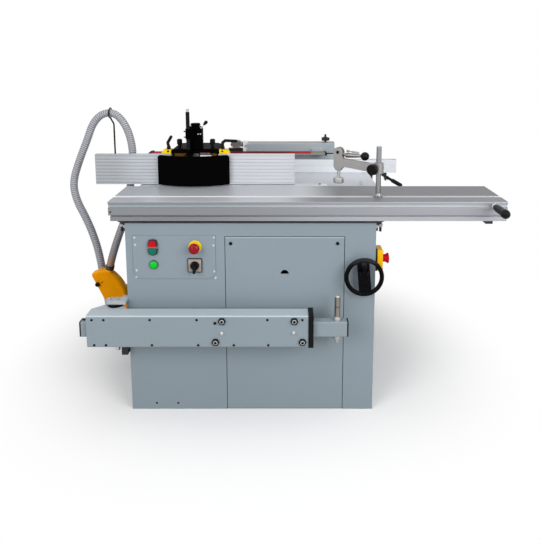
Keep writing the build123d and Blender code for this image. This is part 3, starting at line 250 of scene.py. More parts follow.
def powder_coat(name, colour, patches=(), shine=0.4, edge=0.0012):
    """Baked powder paint on sheet steel: faint clouds of tone and an orange-peel skin."""
    material, shader, place = new_finish(name, 0.42, shine=shine)
    patched(place, colour, 0.05, COAT_CLOUD, patches).feed(shader, "Base Color")
    (0.38 + 0.14 * place.noise(COAT_CLOUD)).feed(shader, "Roughness")
    place.noise(COAT_PEEL, 1.0).bump(0.00008, edge).feed(shader, "Normal")
    return material


MACHINE_GREY = (0.238, 0.288, 0.326)
COAL = (0.006, 0.006, 0.0065)
machine_grey = powder_coat("machine_grey_coat", MACHINE_GREY)
dress(machine_grey, "control_panel", "planer_base")
DOOR_LEFT, DOOR_RIGHT, DOOR_TOP = -0.098, 0.359, 0.716
DOOR_GAP, DOOR_LIP = 0.0028, 0.0045
GAP_SHADE_FRONT, GAP_SHADE_BACK = -0.4372, -0.430


def door_gap_shade(place):
    """1 on the walls of the gap round the front cover, where painted shade lies."""
    across = place.between("X", DOOR_LEFT - DOOR_GAP, DOOR_RIGHT + DOOR_GAP)
    return across * (place.axis("Z") < DOOR_TOP + DOOR_GAP) * place.between("Y", GAP_SHADE_FRONT, GAP_SHADE_BACK)


# The cabinet's coat carries black painted shade in the gap round the cover.
cabinet_paint = powder_coat("cabinet_coat", MACHINE_GREY, [(door_gap_shade, COAL)])
dress(cabinet_paint, "cabinet")
# The cover's top edge is painted lighter as a painted highlight.
LIT_DOOR = (0.35, 0.41, 0.45)
door_top_highlight = [(lambda place: place.axis("Z") > DOOR_TOP - DOOR_LIP, LIT_DOOR)]
door_paint = powder_coat("door_coat", MACHINE_GREY, door_top_highlight)
dress(door_paint, "front_door")
PIPE_RIM, RIM_GREY = 0.3855, (0.36, 0.35, 0.38)
pipe_end = [(lambda place: place.axis("Z") > PIPE_RIM, RIM_GREY)]
chute_paint = powder_coat("chute_coat", MACHINE_GREY, pipe_end)
dress(chute_paint, "dust_chute")

# Small screws hold the panel and the front cover: bright ones on the panel, black ones on the cover.
# Each head is turned, with a socket sunk into it.
TURN_STEPS = 24
WELD = 1e-6
SHARP = radians(35)


def turned(mesh, outline, place, axis):
    """Add a turned shape to a mesh: (radius, height) points along an axis from a place."""
    axis = Vector(axis).normalized()
    place = Vector(place)
    side = axis.orthogonal().normalized()
    points = [mesh.verts.new(place + axis * height + side * radius) for radius, height in outline]
    edges = [mesh.edges.new(pair) for pair in zip(points, points[1:])]
    bmesh.ops.spin(
        mesh, geom=points + edges, cent=place, axis=axis, angle=2 * pi, steps=TURN_STEPS, use_merge=True
    )


def fit_piece(name, mesh, material, body):
    """Close a mesh into a piece, give it its finish and make it ride on a body."""
    bmesh.ops.remove_doubles(mesh, verts=mesh.verts, dist=WELD)
    bmesh.ops.recalc_face_normals(mesh, faces=mesh.faces)
    for face in mesh.faces:
        face.smooth = True
    data = bpy.data.meshes.new(name)
    mesh.to_mesh(data)
    mesh.free()
    data.set_sharp_from_angle(angle=SHARP)
    data.materials.append(material)
    piece = bpy.data.objects.new(name, data)
    bpy.context.collection.objects.link(piece)
    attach(piece, body)


def screw_heads(name, places, axis, radius, material, body):
    """A set of socket screw heads standing on a surface."""
    mesh = bmesh.new()
    height = 0.55 * radius
    outline = [
        (0, 0.4 * height),
        (0.4 * radius, 0.4 * height),
        (0.48 * radius, height),
        (0.8 * radius, 0.95 * height),
        (radius, 0.6 * height),
        (radius, -0.3 * height),
        (0, -0.3 * height),
    ]
    for place in places:
        turned(mesh, outline, place, axis)
    fit_piece(name, mesh, material, body)


def drawn_metal(name, colour, grain, roughness, patches=(), bare=0.85, shine=0.5, edge=0.0008):
    """Bare or anodised metal with fine lines; grain is the lines per metre along X, Y and Z."""
    material, shader, place = new_finish(name, roughness, bare, shine)
    lines = place.noise(grain, 3.0)
    patched(place, colour, 0.1, grain, patches).feed(shader, "Base Color")
    (roughness - 0.08 + 0.16 * lines).feed(shader, "Roughness")
    lines.bump(0.00003, edge).feed(shader, "Normal")
    return material


MOULD_CLOUD = (30, 30, 30)
SPARK = (1500, 1500, 1500)


def moulded(name, colour, roughness, patches=(), shine=0.3, edge=0.0008):
    """Injection-moulded plastic with a fine spark texture."""
    material, shader, place = new_finish(name, roughness, shine=shine)
    patched(place, colour, 0.1, MOULD_CLOUD, patches).feed(shader, "Base Color")
    (roughness - 0.05 + 0.1 * place.noise(MOULD_CLOUD)).feed(shader, "Roughness")
    place.noise(SPARK, 1.0).bump(0.00003, edge).feed(shader, "Normal")
    return material


FRONT = (0, -1, 0)
UP = (0, 0, 1)
EVEN_GRAIN = (400, 400, 400)
PANEL_FACE = -0.443
WALL_FACE = -0.44
PANEL_SCREWS = [
    (-0.4440, PANEL_FACE, 0.7145),
    (-0.4418, PANEL_FACE, 0.6856),
    (-0.4404, PANEL_FACE, 0.5831),
    (-0.4425, WALL_FACE, 0.5560),
    (-0.1403, PANEL_FACE, 0.7145),
    (-0.1424, PANEL_FACE, 0.6829),
    (-0.1411, PANEL_FACE, 0.5788),
    (-0.1374, WALL_FACE, 0.5520),
]
COVER_SCREWS = [(-0.077, 0.690), (0.333, 0.690)]
zinc = drawn_metal("bright_zinc", (0.42, 0.43, 0.44), EVEN_GRAIN, 0.3)
black = moulded("black_moulding", COAL, 0.38, shine=0.08)
polished = drawn_metal("polished_steel", (0.62, 0.62, 0.63), EVEN_GRAIN, 0.25, bare=0.25)
screw_heads("panel_screws", PANEL_SCREWS, FRONT, 0.0045, polished, "base")
cover_places = [(x, WALL_FACE, z) for x, z in COVER_SCREWS]
screw_heads("cover_screws", cover_places, FRONT, 0.0065, black, "base")

# Louvred sheet covers close the motor spaces at the back of the cabinet and of the planer's housing.
# Each is held by a screw near every corner, and larger ones hold the planer's rear cheek.
BACK = (0, 1, 0)
COVER_THICK, COVER_EDGE = 0.002, 0.014
LOUVRE_HIGH, LOUVRE_OUT, LOUVRE_STEP = 0.013, 0.006, 0.028
LOUVRE_SHARE = 0.86
PLANER_BACK, CABINET_BACK = 0.44, 0.13


def add_box(mesh, middle, size):
    """Add a box to a mesh, by its middle and its size; gives its corners."""
    shape = Matrix.Translation(middle) @ Matrix.Diagonal((*size, 1))
    return bmesh.ops.create_cube(mesh, size=1.0, matrix=shape)["verts"]


def round_edges(mesh, edges, offset, segments=2):
    """Round edges of a mesh."""
    bmesh.ops.bevel(
        mesh, geom=edges, offset=offset, segments=segments, profile=0.5, affect="EDGES", material=-1
    )


def louvred_cover(name, middle, width, height, columns):
    """A sheet cover that faces back, with columns of pressed louvres and four corner screws."""
    mesh = bmesh.new()
    add_box(mesh, (0, COVER_THICK / 2, 0), (width, COVER_THICK, height))
    pitch = (width - 2 * COVER_EDGE) / columns
    louvre_size = (LOUVRE_SHARE * pitch, 2 * LOUVRE_OUT, LOUVRE_HIGH)
    rows = int((height - 4 * COVER_EDGE) / LOUVRE_STEP)
    for column in range(columns):
        for row in range(rows):
            spot = Vector(((column + 0.5) * pitch - columns * pitch / 2, COVER_THICK, 0))
            spot.z = (row + 0.5 - rows / 2) * LOUVRE_STEP
            for vertex in add_box(mesh, spot, louvre_size):
                if vertex.co.z > spot.z:
                    vertex.co.y = min(vertex.co.y, COVER_THICK)
    round_edges(mesh, mesh.edges[:], 0.0008)
    bmesh.ops.translate(mesh, verts=mesh.verts, vec=middle)
    fit_piece(name, mesh, machine_grey, "base")
    reach_x, reach_z = width / 2 - COVER_EDGE, height / 2 - COVER_EDGE
    corners = [(side_x * reach_x, COVER_THICK, side_z * reach_z) for side_x in (-1, 1) for side_z in (-1, 1)]
    places = [Vector(middle) + Vector(corner) for corner in corners]
    screw_heads(f"{name}_screws", places, BACK, 0.0055, zinc, "base")


louvred_cover("planer_cover", (0, PLANER_BACK, 0.21), 0.40, 0.27, 2)
louvred_cover("left_back_cover", (-0.375, CABINET_BACK, 0.42), 0.15, 0.40, 1)
louvred_cover("right_back_cover", (0.375, CABINET_BACK, 0.42), 0.15, 0.40, 1)
cheek_places = [(x, PLANER_BACK, z) for x in (-0.2, 0.2) for z in (0.44, 0.79)]
screw_heads("cheek_bolts", cheek_places, BACK, 0.0085, zinc, "base")

# The control gear is moulded plastic on the panel: a lamp, a twin button, an emergency stop and a selector.
# The frames are dark, the emergency collar is yellow, and the selector stands on a pale square plate.
LAMP_SPOT, LAMP_RADIUS = (-0.3735, PANEL_FACE, 0.607), 0.0160
LAMP_RIM = (0.05, 0.07, 0.06)
SELECTOR_X, SELECTOR_Z = -0.215, 0.605
PLATE_HALF = 0.0245
GREEN = (0.0, 0.14, 0.085)
RED = (0.52, 0.001, 0.007)
DEEP_RED = (0.28, 0.002, 0.008)
YELLOW = (0.84, 0.58, 0.0)
PALE_PLATE = (0.37, 0.32, 0.28)
COLLAR_LEFT, COLLAR_LOW = -0.25, 0.64
TWIN_RIGHT, BAR_LOW, BAR_HIGH = -0.34, 0.6733, 0.6807
BAR_GREY = (0.18, 0.19, 0.185)
lamp_glass = moulded(
    "green_lens",
    (0.0, 0.56, 0.03),
    0.18,
    [(lambda place: place.apart(LAMP_SPOT) > LAMP_RADIUS, LAMP_RIM)],
    shine=0.12,
)
dress(lamp_glass, "signal_lamp")
bezel = moulded(
    "bezel_moulding",
    (0.03, 0.03, 0.032),
    0.4,
    [
        (lambda place: (place.axis("X") > COLLAR_LEFT) * (place.axis("Z") > COLLAR_LOW), YELLOW),
        (
            lambda place: place.between("X", SELECTOR_X - PLATE_HALF, SELECTOR_X + PLATE_HALF)
            * place.between("Z", SELECTOR_Z - PLATE_HALF, SELECTOR_Z + PLATE_HALF),
            PALE_PLATE,
        ),
        (
            lambda place: (place.axis("X") < TWIN_RIGHT) * place.between("Z", BAR_LOW, BAR_HIGH),
            BAR_GREY,
        ),
    ],
)
dress(bezel, "control_bezels")
red_cap = moulded("red_cap", RED, 0.25, shine=0.15)
dress(red_cap, "stop_button")
mushroom_red = moulded("mushroom_red", DEEP_RED, 0.3, shine=0.2)
dress(mushroom_red, "panel_estop")
green_cap = moulded("green_cap", GREEN, 0.25, shine=0.2)
dress(green_cap, "start_button")
dress(black, "selector_knob")

# The second emergency stop sits on the right wall in a yellow moulded box with a black back.
# Four small screws hold the box together.
RIGHT = (1, 0, 0)
BOX_YELLOW = (0.88, 0.47, 0.0)
BOX_SPLIT = 0.489
box_back = [(lambda place: place.axis("X") < BOX_SPLIT, COAL)]
yellow_box = moulded("yellow_box", BOX_YELLOW, 0.35, box_back, shine=0.2)
dress(yellow_box, "estop_box")
dress(red_cap, "box_estop")
BOX_FACE, BOX_Y, BOX_Z = 0.511, -0.395, 0.6165
box_corners = [(side_y, side_z) for side_y in (-0.026, 0.026) for side_z in (-0.034, 0.034)]
box_places = [(BOX_FACE, BOX_Y + side_y, BOX_Z + side_z) for side_y, side_z in box_corners]
screw_heads("box_screws", box_places, RIGHT, 0.0032, zinc, "base")

# The lower rail and the sliding table above it are anodised aluminium extrusions.
# Painted highlights run along the T-slot's edges and in the front groove, and painted light and shade fade
# from left to right along the rail and the table.
# Black clamps with bright bolts hold the rail, and the table has a black push handle on a bright stem.
LONG_GRAIN = (3, 900, 900)
ANODISED = (0.212, 0.222, 0.238)
GROUND_TOP = (0.485, 0.507, 0.54)
LEFT_TOP_SHADE = (0.385, 0.403, 0.43)
TOP_RIGHT_SHADE = (0.19, 0.197, 0.211)
BACK_RIGHT_SHADE = (0.148, 0.155, 0.167)
FRONT_RIGHT_LIGHT = (0.305, 0.32, 0.345)
SLOT_HIGHLIGHT_LEFT, SLOT_HIGHLIGHT_RIGHT = (0.86, 0.87, 0.88), (0.58, 0.59, 0.605)
SLIDE_TOP = 0.8595
SLOT_LOW, SLOT_HIGH = -0.3930, -0.3710
GROOVE_FRONT, GROOVE_BACK = -0.4645, -0.457
GROOVE_LOW, GROOVE_HIGH = 0.8365, 0.8505
GROOVE_LIGHT_LEFT, GROOVE_LIGHT_RIGHT = (0.31, 0.36, 0.385), (0.455, 0.47, 0.505)
RAIL_SHADED_LEFT, RAIL_LIT_RIGHT = (0.195, 0.201, 0.215), (0.37, 0.384, 0.412)
RAIL_FADE, FRONT_FADE, LEFT_FADE = (-0.3, 0.5), (-0.35, 0.75), (-0.45, -0.33)
TOP_FADE, BACK_FADE = (0.10, 0.26), (0.17, 0.37)
SLOT_FADE, GROOVE_FADE = (-0.1, 0.6), (-0.3, 0.4)
# The rail is painted lighter towards its right end as painted light.
rail_light_fade = [(lambda place: place.rise("X", *RAIL_FADE), RAIL_LIT_RIGHT)]
rail_metal = drawn_metal("rail_extrusion", RAIL_SHADED_LEFT, LONG_GRAIN, 0.46, rail_light_fade, bare=0.3)
dress(rail_metal, "lower_rail")


def front_groove(place):
    """1 on the walls of the groove in the front of the sliding table."""
    return place.between("Y", GROOVE_FRONT, GROOVE_BACK) * place.between("Z", GROOVE_LOW, GROOVE_HIGH)


def table_top(place):
    """1 on the ground top of the sliding table."""
    return place.axis("Z") > SLIDE_TOP


def slot_edges(place):
    """1 on the walls and lips of the T-slot of the sliding table."""
    return place.between("Y", SLOT_LOW, SLOT_HIGH)


# The table's sides are painted lighter towards the right as painted light. Its top is painted darker at its
# left end and towards its right end as painted shade.
slide_metal = drawn_metal(
    "slide_extrusion",
    ANODISED,
    LONG_GRAIN,
    0.46,
    [
        (lambda place: place.rise("X", *FRONT_FADE), FRONT_RIGHT_LIGHT),
        (table_top, GROUND_TOP),
        (lambda place: table_top(place) * (1 - place.rise("X", *LEFT_FADE)), LEFT_TOP_SHADE),
        (
            lambda place: table_top(place) * (place.axis("Y") < SLOT_LOW) * place.rise("X", *TOP_FADE),
            TOP_RIGHT_SHADE,
        ),
        (
            lambda place: table_top(place) * (place.axis("Y") > SLOT_HIGH) * place.rise("X", *BACK_FADE),
            BACK_RIGHT_SHADE,
        ),
        (slot_edges, SLOT_HIGHLIGHT_LEFT),
        (lambda place: slot_edges(place) * place.rise("X", *SLOT_FADE), SLOT_HIGHLIGHT_RIGHT),
        (front_groove, GROOVE_LIGHT_LEFT),
        (lambda place: front_groove(place) * place.rise("X", *GROOVE_FADE), GROOVE_LIGHT_RIGHT),
    ],
    bare=0.4,
)
dress(slide_metal, "sliding_table")
SLIDE_FACE, END_SCREW_Z = -0.465, 0.8205
end_places = [(x, SLIDE_FACE, END_SCREW_Z) for x in (-0.5245, 0.9585)]
screw_heads("slide_end_screws", end_places, FRONT, 0.0032, black, "table_body")
dress(zinc, "roller_carriage")
BOLT_LOW, BOLT_HIGH, BOLT_GREY = 0.747, 0.7585, (0.5, 0.5, 0.51)
clamp_bolts = [(lambda place: place.between("Z", BOLT_LOW, BOLT_HIGH), BOLT_GREY)]
clamp_black = powder_coat("black_clamp_coat", COAL, clamp_bolts)
dress(clamp_black, "rail_clamps")
STEM_FRONT, STEM_GREY = -0.4815, (0.6, 0.6, 0.61)
handle_stem = [(lambda place: place.axis("Y") > STEM_FRONT, STEM_GREY)]
grip_black = moulded("handle_grip", COAL, 0.34, handle_stem, shine=0.1)
dress(grip_black, "push_handle")

# The main table and the planer's tables are ground cast iron, with an aluminium insert round the blade.
# Three small black screws hold the insert, and the saw's carriage and the moulder's quill are iron too.
CROSS_GRAIN = (900, 12, 900)
# A painted pool of light brightens the back right of the main table.
LIT_IRON = (0.56, 0.585, 0.62)
LIT_ACROSS, LIT_DEEP = (0.05, 0.2), (-0.17, 0.02)
lit_corner = [(lambda place: place.rise("X", *LIT_ACROSS) * place.rise("Y", *LIT_DEEP), LIT_IRON)]
ground_iron = drawn_metal("ground_iron", (0.44, 0.46, 0.495), CROSS_GRAIN, 0.42, lit_corner, bare=0.5)
dress(ground_iron, "main_table", "saw_carriage", "moulder_quill")
# The planer's tables are a darker copy of the iron, as painted shade under the guard's arm.
shaded_planer_iron = drawn_metal("shaded_planer_iron", (0.235, 0.246, 0.266), CROSS_GRAIN, 0.42, bare=0.5)
dress(shaded_planer_iron, "planer_tables", "thicknesser_bed")
insert_metal = drawn_metal("insert_metal", (0.74, 0.75, 0.76), (12, 900, 900), 0.32)
dress(insert_metal, "saw_insert")
TABLE_TOP = 0.860
INSERT_SCREW_Y = -0.1595
insert_places = [(x, INSERT_SCREW_Y, TABLE_TOP) for x in (-0.078, 0.101, 0.279)]
screw_heads("insert_screws", insert_places, UP, 0.0045, black, "base")

# The outrigger arm is a folded steel box on a hinge at the cabinet's left edge, with a tube that draws out.
# Four bearings in it guide the tube, and each is held by a black nut with a bright bolt end.
# Black screws and two grease nipples stand on its front, and an upright steel pin near its right end.
ARM_GREY = (0.245, 0.295, 0.33)
LIT_GREY = (0.43, 0.49, 0.53)
BEND_HIGHLIGHT = (0.49, 0.55, 0.59)
ARM_TOP = 0.4455
BEND_LOW, BEND_FRONT = 0.4428, -0.5462
# The arm's top is painted lighter as painted light, and a painted highlight runs along the bend of its front
# edge.
arm_light = [
    (lambda place: place.axis("Z") > ARM_TOP, LIT_GREY),
    (lambda place: (place.axis("Z") > BEND_LOW) * (place.axis("Y") < BEND_FRONT), BEND_HIGHLIGHT),
]
arm_paint = powder_coat("arm_coat", ARM_GREY, arm_light)
dress(arm_paint, "swing_arm")
PLUG_LEFT, PLUG_RIGHT = -0.634, 0.364
tube_plugs = [(lambda place: (place.axis("X") < PLUG_LEFT).most(place.axis("X") > PLUG_RIGHT), COAL)]
tube_paint = powder_coat("tube_coat", ARM_GREY, tube_plugs)
dress(tube_paint, "arm_tube")
dress(black, "arm_end_frame")
LOW_BRACKET = 0.2995
black_bracket = [(lambda place: place.axis("Z") < LOW_BRACKET, COAL)]
hinge_paint = powder_coat("hinge_coat", (0.42, 0.44, 0.46), black_bracket)
dress(hinge_paint, "arm_hinge_brackets")
WASHER_LOW, WASHER_HIGH = 0.44, 0.4572
black_washer = [(lambda place: place.between("Z", WASHER_LOW, WASHER_HIGH), COAL)]
pin_metal = drawn_metal("hinge_pin_metal", (0.5, 0.5, 0.51), EVEN_GRAIN, 0.35, black_washer)
dress(pin_metal, "arm_pivot_pin")
hinge_bolts = [(-0.550, -0.447, 0.469), (-0.534, -0.452, 0.469)]
screw_heads("hinge_bolts", hinge_bolts, UP, 0.0075, zinc, "base")
BEARING_FRONT, BEARING_GREY = -0.5495, (0.6, 0.6, 0.6)
bearing_steel = [(lambda place: place.axis("Y") > BEARING_FRONT, BEARING_GREY)]
nut_metal = drawn_metal("black_nut_metal", COAL, EVEN_GRAIN, 0.4, bearing_steel)
dress(nut_metal, "arm_rollers")
ARM_FACE = -0.550
NUT_FACE = -0.557
ROLLER_BOLTS = [(-0.103, 0.4263), (-0.128, 0.3437), (0.166, 0.4263), (0.197, 0.3437)]
BOLT_END = [(0, -0.001), (0.0085, -0.001), (0.0085, 0.0016), (0.0078, 0.0024)]
BOLT_END += [(0.0048, 0.0024), (0.0048, 0.001), (0, 0.001)]
BOLT_SOCKET = [(0, 0.0004), (0.0046, 0.0004), (0.0048, 0.0020), (0.0052, 0.0021), (0.0052, 0), (0, 0)]
SOCKET_OUT = 0.0012
# A black disc in each bolt end's socket is painted shade.
bolt_mesh = bmesh.new()
socket_shade_mesh = bmesh.new()
for bolt_x, bolt_z in ROLLER_BOLTS:
    turned(bolt_mesh, BOLT_END, (bolt_x, NUT_FACE, bolt_z), FRONT)
    turned(socket_shade_mesh, BOLT_SOCKET, (bolt_x, NUT_FACE - SOCKET_OUT, bolt_z), FRONT)
fit_piece("roller_bolt_ends", bolt_mesh, zinc, "arm_body")
fit_piece("roller_bolt_socket_shades", socket_shade_mesh, black, "arm_body")
ARM_SCREWS_HIGH = [-0.587, -0.543, -0.371, -0.197, 0.066, 0.196]
ARM_SCREWS_LOW = [-0.582, -0.538, -0.366, -0.193, -0.06, 0.069]
HIGH_ROW, LOW_ROW = 0.431, 0.331
arm_places = [(x, ARM_FACE, HIGH_ROW) for x in ARM_SCREWS_HIGH]
arm_places += [(x, ARM_FACE, LOW_ROW) for x in ARM_SCREWS_LOW]
screw_heads("arm_screws", arm_places, FRONT, 0.0045, black, "arm_body")
nipple_mesh = bmesh.new()
NIPPLE_TIP = [(0, 0.011), (0.0026, 0.011), (0.0036, 0.0085), (0.0026, 0.006)]
NIPPLE = NIPPLE_TIP + [(0.0058, 0.0045), (0.0058, -0.001), (0, -0.001)]
for nipple_x, nipple_z in [(-0.104, 0.379), (0.164, 0.382)]:
    turned(nipple_mesh, NIPPLE, (nipple_x, ARM_FACE, nipple_z), FRONT)
fit_piece("grease_nipples", nipple_mesh, polished, "arm_body")
arm_stop_place = (-0.129, ARM_FACE, 0.418)
screw_heads("arm_stop_screw", [arm_stop_place], FRONT, 0.0055, black, "arm_body")
tube_stop_place = (-0.627, -0.515, 0.415)
screw_heads("tube_stop_screw", [tube_stop_place], UP, 0.006, black, "tube_body")
PIN_X, PIN_SHEEN = 0.329, 0.0045
NUT_TOP, COLLAR_FOOT, COLLAR_TOP, PIN_HEAD = 0.4315, 0.467, 0.4725, 0.509
PIN_BROWN, SHEEN_BROWN, COLLAR_BROWN = (0.155, 0.142, 0.122), (0.25, 0.235, 0.205), (0.14, 0.10, 0.08)
NUT_GREY, HEAD_HIGHLIGHT = (0.38, 0.38, 0.38), (0.6, 0.59, 0.56)
# The pin carries a painted sheen down its middle and a painted highlight on its head.
pin_tones = [
    (lambda place: place.between("X", PIN_X - PIN_SHEEN, PIN_X + PIN_SHEEN), SHEEN_BROWN),
    (lambda place: place.between("Z", COLLAR_FOOT, COLLAR_TOP), COLLAR_BROWN),
    (lambda place: place.axis("Z") < NUT_TOP, NUT_GREY),
    (lambda place: place.axis("Z") > PIN_HEAD, HEAD_HIGHLIGHT),
]
pin_steel = drawn_metal("support_pin_steel", PIN_BROWN, EVEN_GRAIN, 0.3, pin_tones, bare=0.7)
dress(pin_steel, "support_pin")

# The handwheel is black moulded plastic with a folding handle on a blackened cross pin.
# A small turned cap closes each end of the pin.
# A painted sheen lightens the upper part of the wheel.
SHEEN_FROM, SHEEN_TO, SHEEN_BLACK = 0.612, 0.636, (0.021, 0.022, 0.026)
wheel_sheen = [(lambda place: place.rise("Z", SHEEN_FROM, SHEEN_TO), SHEEN_BLACK)]
wheel_black = moulded("wheel_moulding", (0.0015, 0.0015, 0.002), 0.3, wheel_sheen, shine=0.05)
dress(wheel_black, "handwheel", "wheel_handle")
WHEEL_PIN = Vector((0.4309, -0.488, 0.5909))
PIN_AXIS = Vector((0.9962, 0, 0.0872))
PIN_HALF = 0.0145
pin_mesh = bmesh.new()
PIN_CAP = [(0, 0.003), (0.0026, 0.003), (0.0044, 0.0016), (0.0044, -0.001), (0, -0.001)]
for pin_side in (-1, 1):
    turned(pin_mesh, PIN_CAP, WHEEL_PIN + PIN_AXIS * PIN_HALF * pin_side, PIN_AXIS * pin_side)
fit_piece("wheel_pin_caps", pin_mesh, black, "handwheel_body")

# The blade on its arbor, the moulder's spindle and the planer's cutterblock are turned and ground steel.
# The moulder's motor is black and drives the spindle by a rubber belt.
blade_steel = drawn_metal("blade_steel", (0.6, 0.6, 0.61), (300, 300, 300), 0.28)
dress(blade_steel, "saw_arbor", "moulder_spindle", "cutterblock")
rubber = moulded("belt_rubber", (0.02, 0.02, 0.02), 0.75)
dress(rubber, "drive_belt")
dress(black, "drive_motor")

# The moulder's hood, its column and the bowed shield are black coated steel.
# The shield hangs on a black rod with a bright tip, and two yellow clamps hold the fences.
# Inside the hood each clamp ends in a flat shoe with one screw, its yellow painted down to ochre as painted
# shade.
SOOT = (0.0012, 0.0012, 0.0014)
hood_black = powder_coat("black_hood_coat", SOOT, shine=0.006)
dress(hood_black, "moulder_hood", "shield_column")
ROD_FOOT, ROD_TIP = 1.01, 1.1692
ROD_BLACK, TIP_GREY = (0.013, 0.013, 0.014), (0.5, 0.5, 0.5)
rod_tones = [
    (lambda place: place.axis("Z") > ROD_FOOT, ROD_BLACK),
    (lambda place: place.axis("Z") > ROD_TIP, TIP_GREY),
]
shield_black = powder_coat("black_shield_coat", SOOT, rod_tones, shine=0.006)
dress(shield_black, "spindle_shield")
dress(black, "hood_knobs", "left_lock_lever", "right_lock_lever")
STEM_FOOT = (-0.230, -0.135, 1.094)
STEM_LEAN = (0.68, 0, 0.73)
stem_mesh = bmesh.new()
STEM = [(0, -0.004), (0.0046, -0.004), (0.0046, 0.005), (0.0028, 0.007), (0.0028, 0.027), (0, 0.027)]
turned(stem_mesh, STEM, STEM_FOOT, STEM_LEAN)
fit_piece("column_lever_stem", stem_mesh, zinc, "base")
grip_mesh = bmesh.new()
GRIP = [(0, 0.024), (0.004, 0.024), (0.0056, 0.029), (0.0076, 0.036)]
GRIP += [(0.0072, 0.042), (0.004, 0.0455), (0, 0.046)]
turned(grip_mesh, GRIP, STEM_FOOT, STEM_LEAN)
fit_piece("column_lever_grip", grip_mesh, black, "base")
COLUMN_FACE = -0.145
column_places = [(-0.2370, COLUMN_FACE, 1.0735), (-0.2270, COLUMN_FACE, 1.0735)]
screw_heads("column_screws", column_places, FRONT, 0.0034, zinc, "base")
# A black disc in each clamp's hole is painted shade.
HOLE_RADIUS = 0.0045
CLAMP_HOLES = [(-0.3675, -0.141, 0.9985), (-0.1365, -0.141, 0.9985)]
clamp_hole_shades = [(lambda place, hole=hole: place.apart(hole) < HOLE_RADIUS, COAL) for hole in CLAMP_HOLES]
yellow_clamp = moulded("yellow_clamp", YELLOW, 0.4, clamp_hole_shades, shine=0.15)
dress(yellow_clamp, "fence_clamps")
SHOE_BACK, SHOE_FRONT = -0.124, -0.128
SHOE_LOW, SHOE_HIGH = 0.945, 0.989
SHOE_SCREW_Z = 0.957
SHOES = [(-0.3445, -0.288), (-0.182, -0.1595)]
shoe_mesh = bmesh.new()
for shoe_left, shoe_right in SHOES:
    low, high = Vector((shoe_left, SHOE_FRONT, SHOE_LOW)), Vector((shoe_right, SHOE_BACK, SHOE_HIGH))
    add_box(shoe_mesh, (low + high) / 2, high - low)
round_edges(shoe_mesh, shoe_mesh.edges[:], 0.0012)
shaded_yellow_shoe = moulded("shaded_yellow_shoe", (0.18, 0.08, 0.004), 0.5, shine=0.1)
fit_piece("fence_shoes", shoe_mesh, shaded_yellow_shoe, "base")
shoe_places = [((left + right) / 2, SHOE_FRONT, SHOE_SCREW_Z) for left, right in SHOES]
screw_heads("shoe_screws", shoe_places, FRONT, 0.004, black, "base")

# The two fences of the moulder are ribbed aluminium extrusions at the left and right of the hood.
# Each groove between two ribs has painted shade on its roof and a painted highlight on its floor, and each
# fence is painted lighter towards the right as painted light, the left one a dimmer copy of the right.
FENCE_FOOT, FENCE_RIB = 0.862, 0.0142
FLOOR_LOW, ROOF_LOW, ROOF_HIGH = 0.0014, 0.0052, 0.0088
STRIP_STRENGTH = 0.45
LEFT_DIM, LEFT_LIT, LEFT_RIB_FADE = (0.315, 0.33, 0.35), (0.425, 0.447, 0.483), (-0.60, -0.48)
RIGHT_DIM, RIGHT_LIT, RIGHT_RIB_FADE = (0.52, 0.54, 0.57), (0.55, 0.57, 0.60), (-0.15, 0.17)


def fence_strips(place, low, high):
    """1 on the strips between two heights of every rib of a fence."""
    height = place.maths("MODULO", place.axis("Z") - FENCE_FOOT, FENCE_RIB)
    return (height > low) * (height < high)


def ribbed_metal(name, left, right, fade, bare):
    """A ribbed extrusion painted lighter along its length as painted light, with painted shade and a painted
    highlight in each groove.
    """
    dark = [0.8 * part for part in left]
    lit = [min(1.0, 1.12 * part) for part in right]
    patches = [
        (lambda place: place.rise("X", *fade), right),
        (lambda place: STRIP_STRENGTH * fence_strips(place, ROOF_LOW, ROOF_HIGH), dark),
        (lambda place: STRIP_STRENGTH * fence_strips(place, FLOOR_LOW, ROOF_LOW), lit),
    ]
    return drawn_metal(name, left, LONG_GRAIN, 0.42, patches, bare)


left_metal = ribbed_metal("left_fence_extrusion", LEFT_DIM, LEFT_LIT, LEFT_RIB_FADE, 0.4)
dress(left_metal, "left_fence")
right_metal = ribbed_metal("right_fence_extrusion", RIGHT_DIM, RIGHT_LIT, RIGHT_RIB_FADE, 0.3)
dress(right_metal, "right_fence")

# The bridge guard over the planer is a red coated plate with a bare front edge, a tan end and black caps.
# Its painted arm is a folded channel with a rolled hem along both lower edges and a black star knob.
# The bracket that holds the arm is bright with a dark grip.
CHANNEL_FRONT, CHANNEL_BEND, LOWER_FACE_LIGHT = 0.252, 0.922, (0.5, 0.555, 0.59)
CHANNEL_TOP, CHANNEL_TOP_SHADE, STAR_FOOT = 0.9745, (0.25, 0.27, 0.285), 0.9772
# The channel's lower front is painted lighter as painted light where the plate shades it, and its top is
# painted darker as painted shade.
guard_light_shade_and_knob = [
    (
        lambda place: (place.axis("Z") < CHANNEL_BEND) * (place.axis("Y") < CHANNEL_FRONT),
        LOWER_FACE_LIGHT,
    ),
    (lambda place: place.axis("Z") > CHANNEL_TOP, CHANNEL_TOP_SHADE),
    (lambda place: place.axis("Z") > STAR_FOOT, COAL),
]
guard_paint = powder_coat("guard_arm_coat", (0.33, 0.385, 0.415), guard_light_shade_and_knob)
dress(guard_paint, "planer_guard_arm")
HEM_LEFT, HEM_RIGHT = -0.0515, 0.373
HEM_LOW, HEM_HIGH, HEM_HALF = 0.8965, 0.9045, 0.003
hem_mesh = bmesh.new()
for hem_y in (0.2518, 0.3082):
    hem_middle = ((HEM_LEFT + HEM_RIGHT) / 2, hem_y, (HEM_LOW + HEM_HIGH) / 2)
    add_box(hem_mesh, hem_middle, (HEM_RIGHT - HEM_LEFT, 2 * HEM_HALF, HEM_HIGH - HEM_LOW))
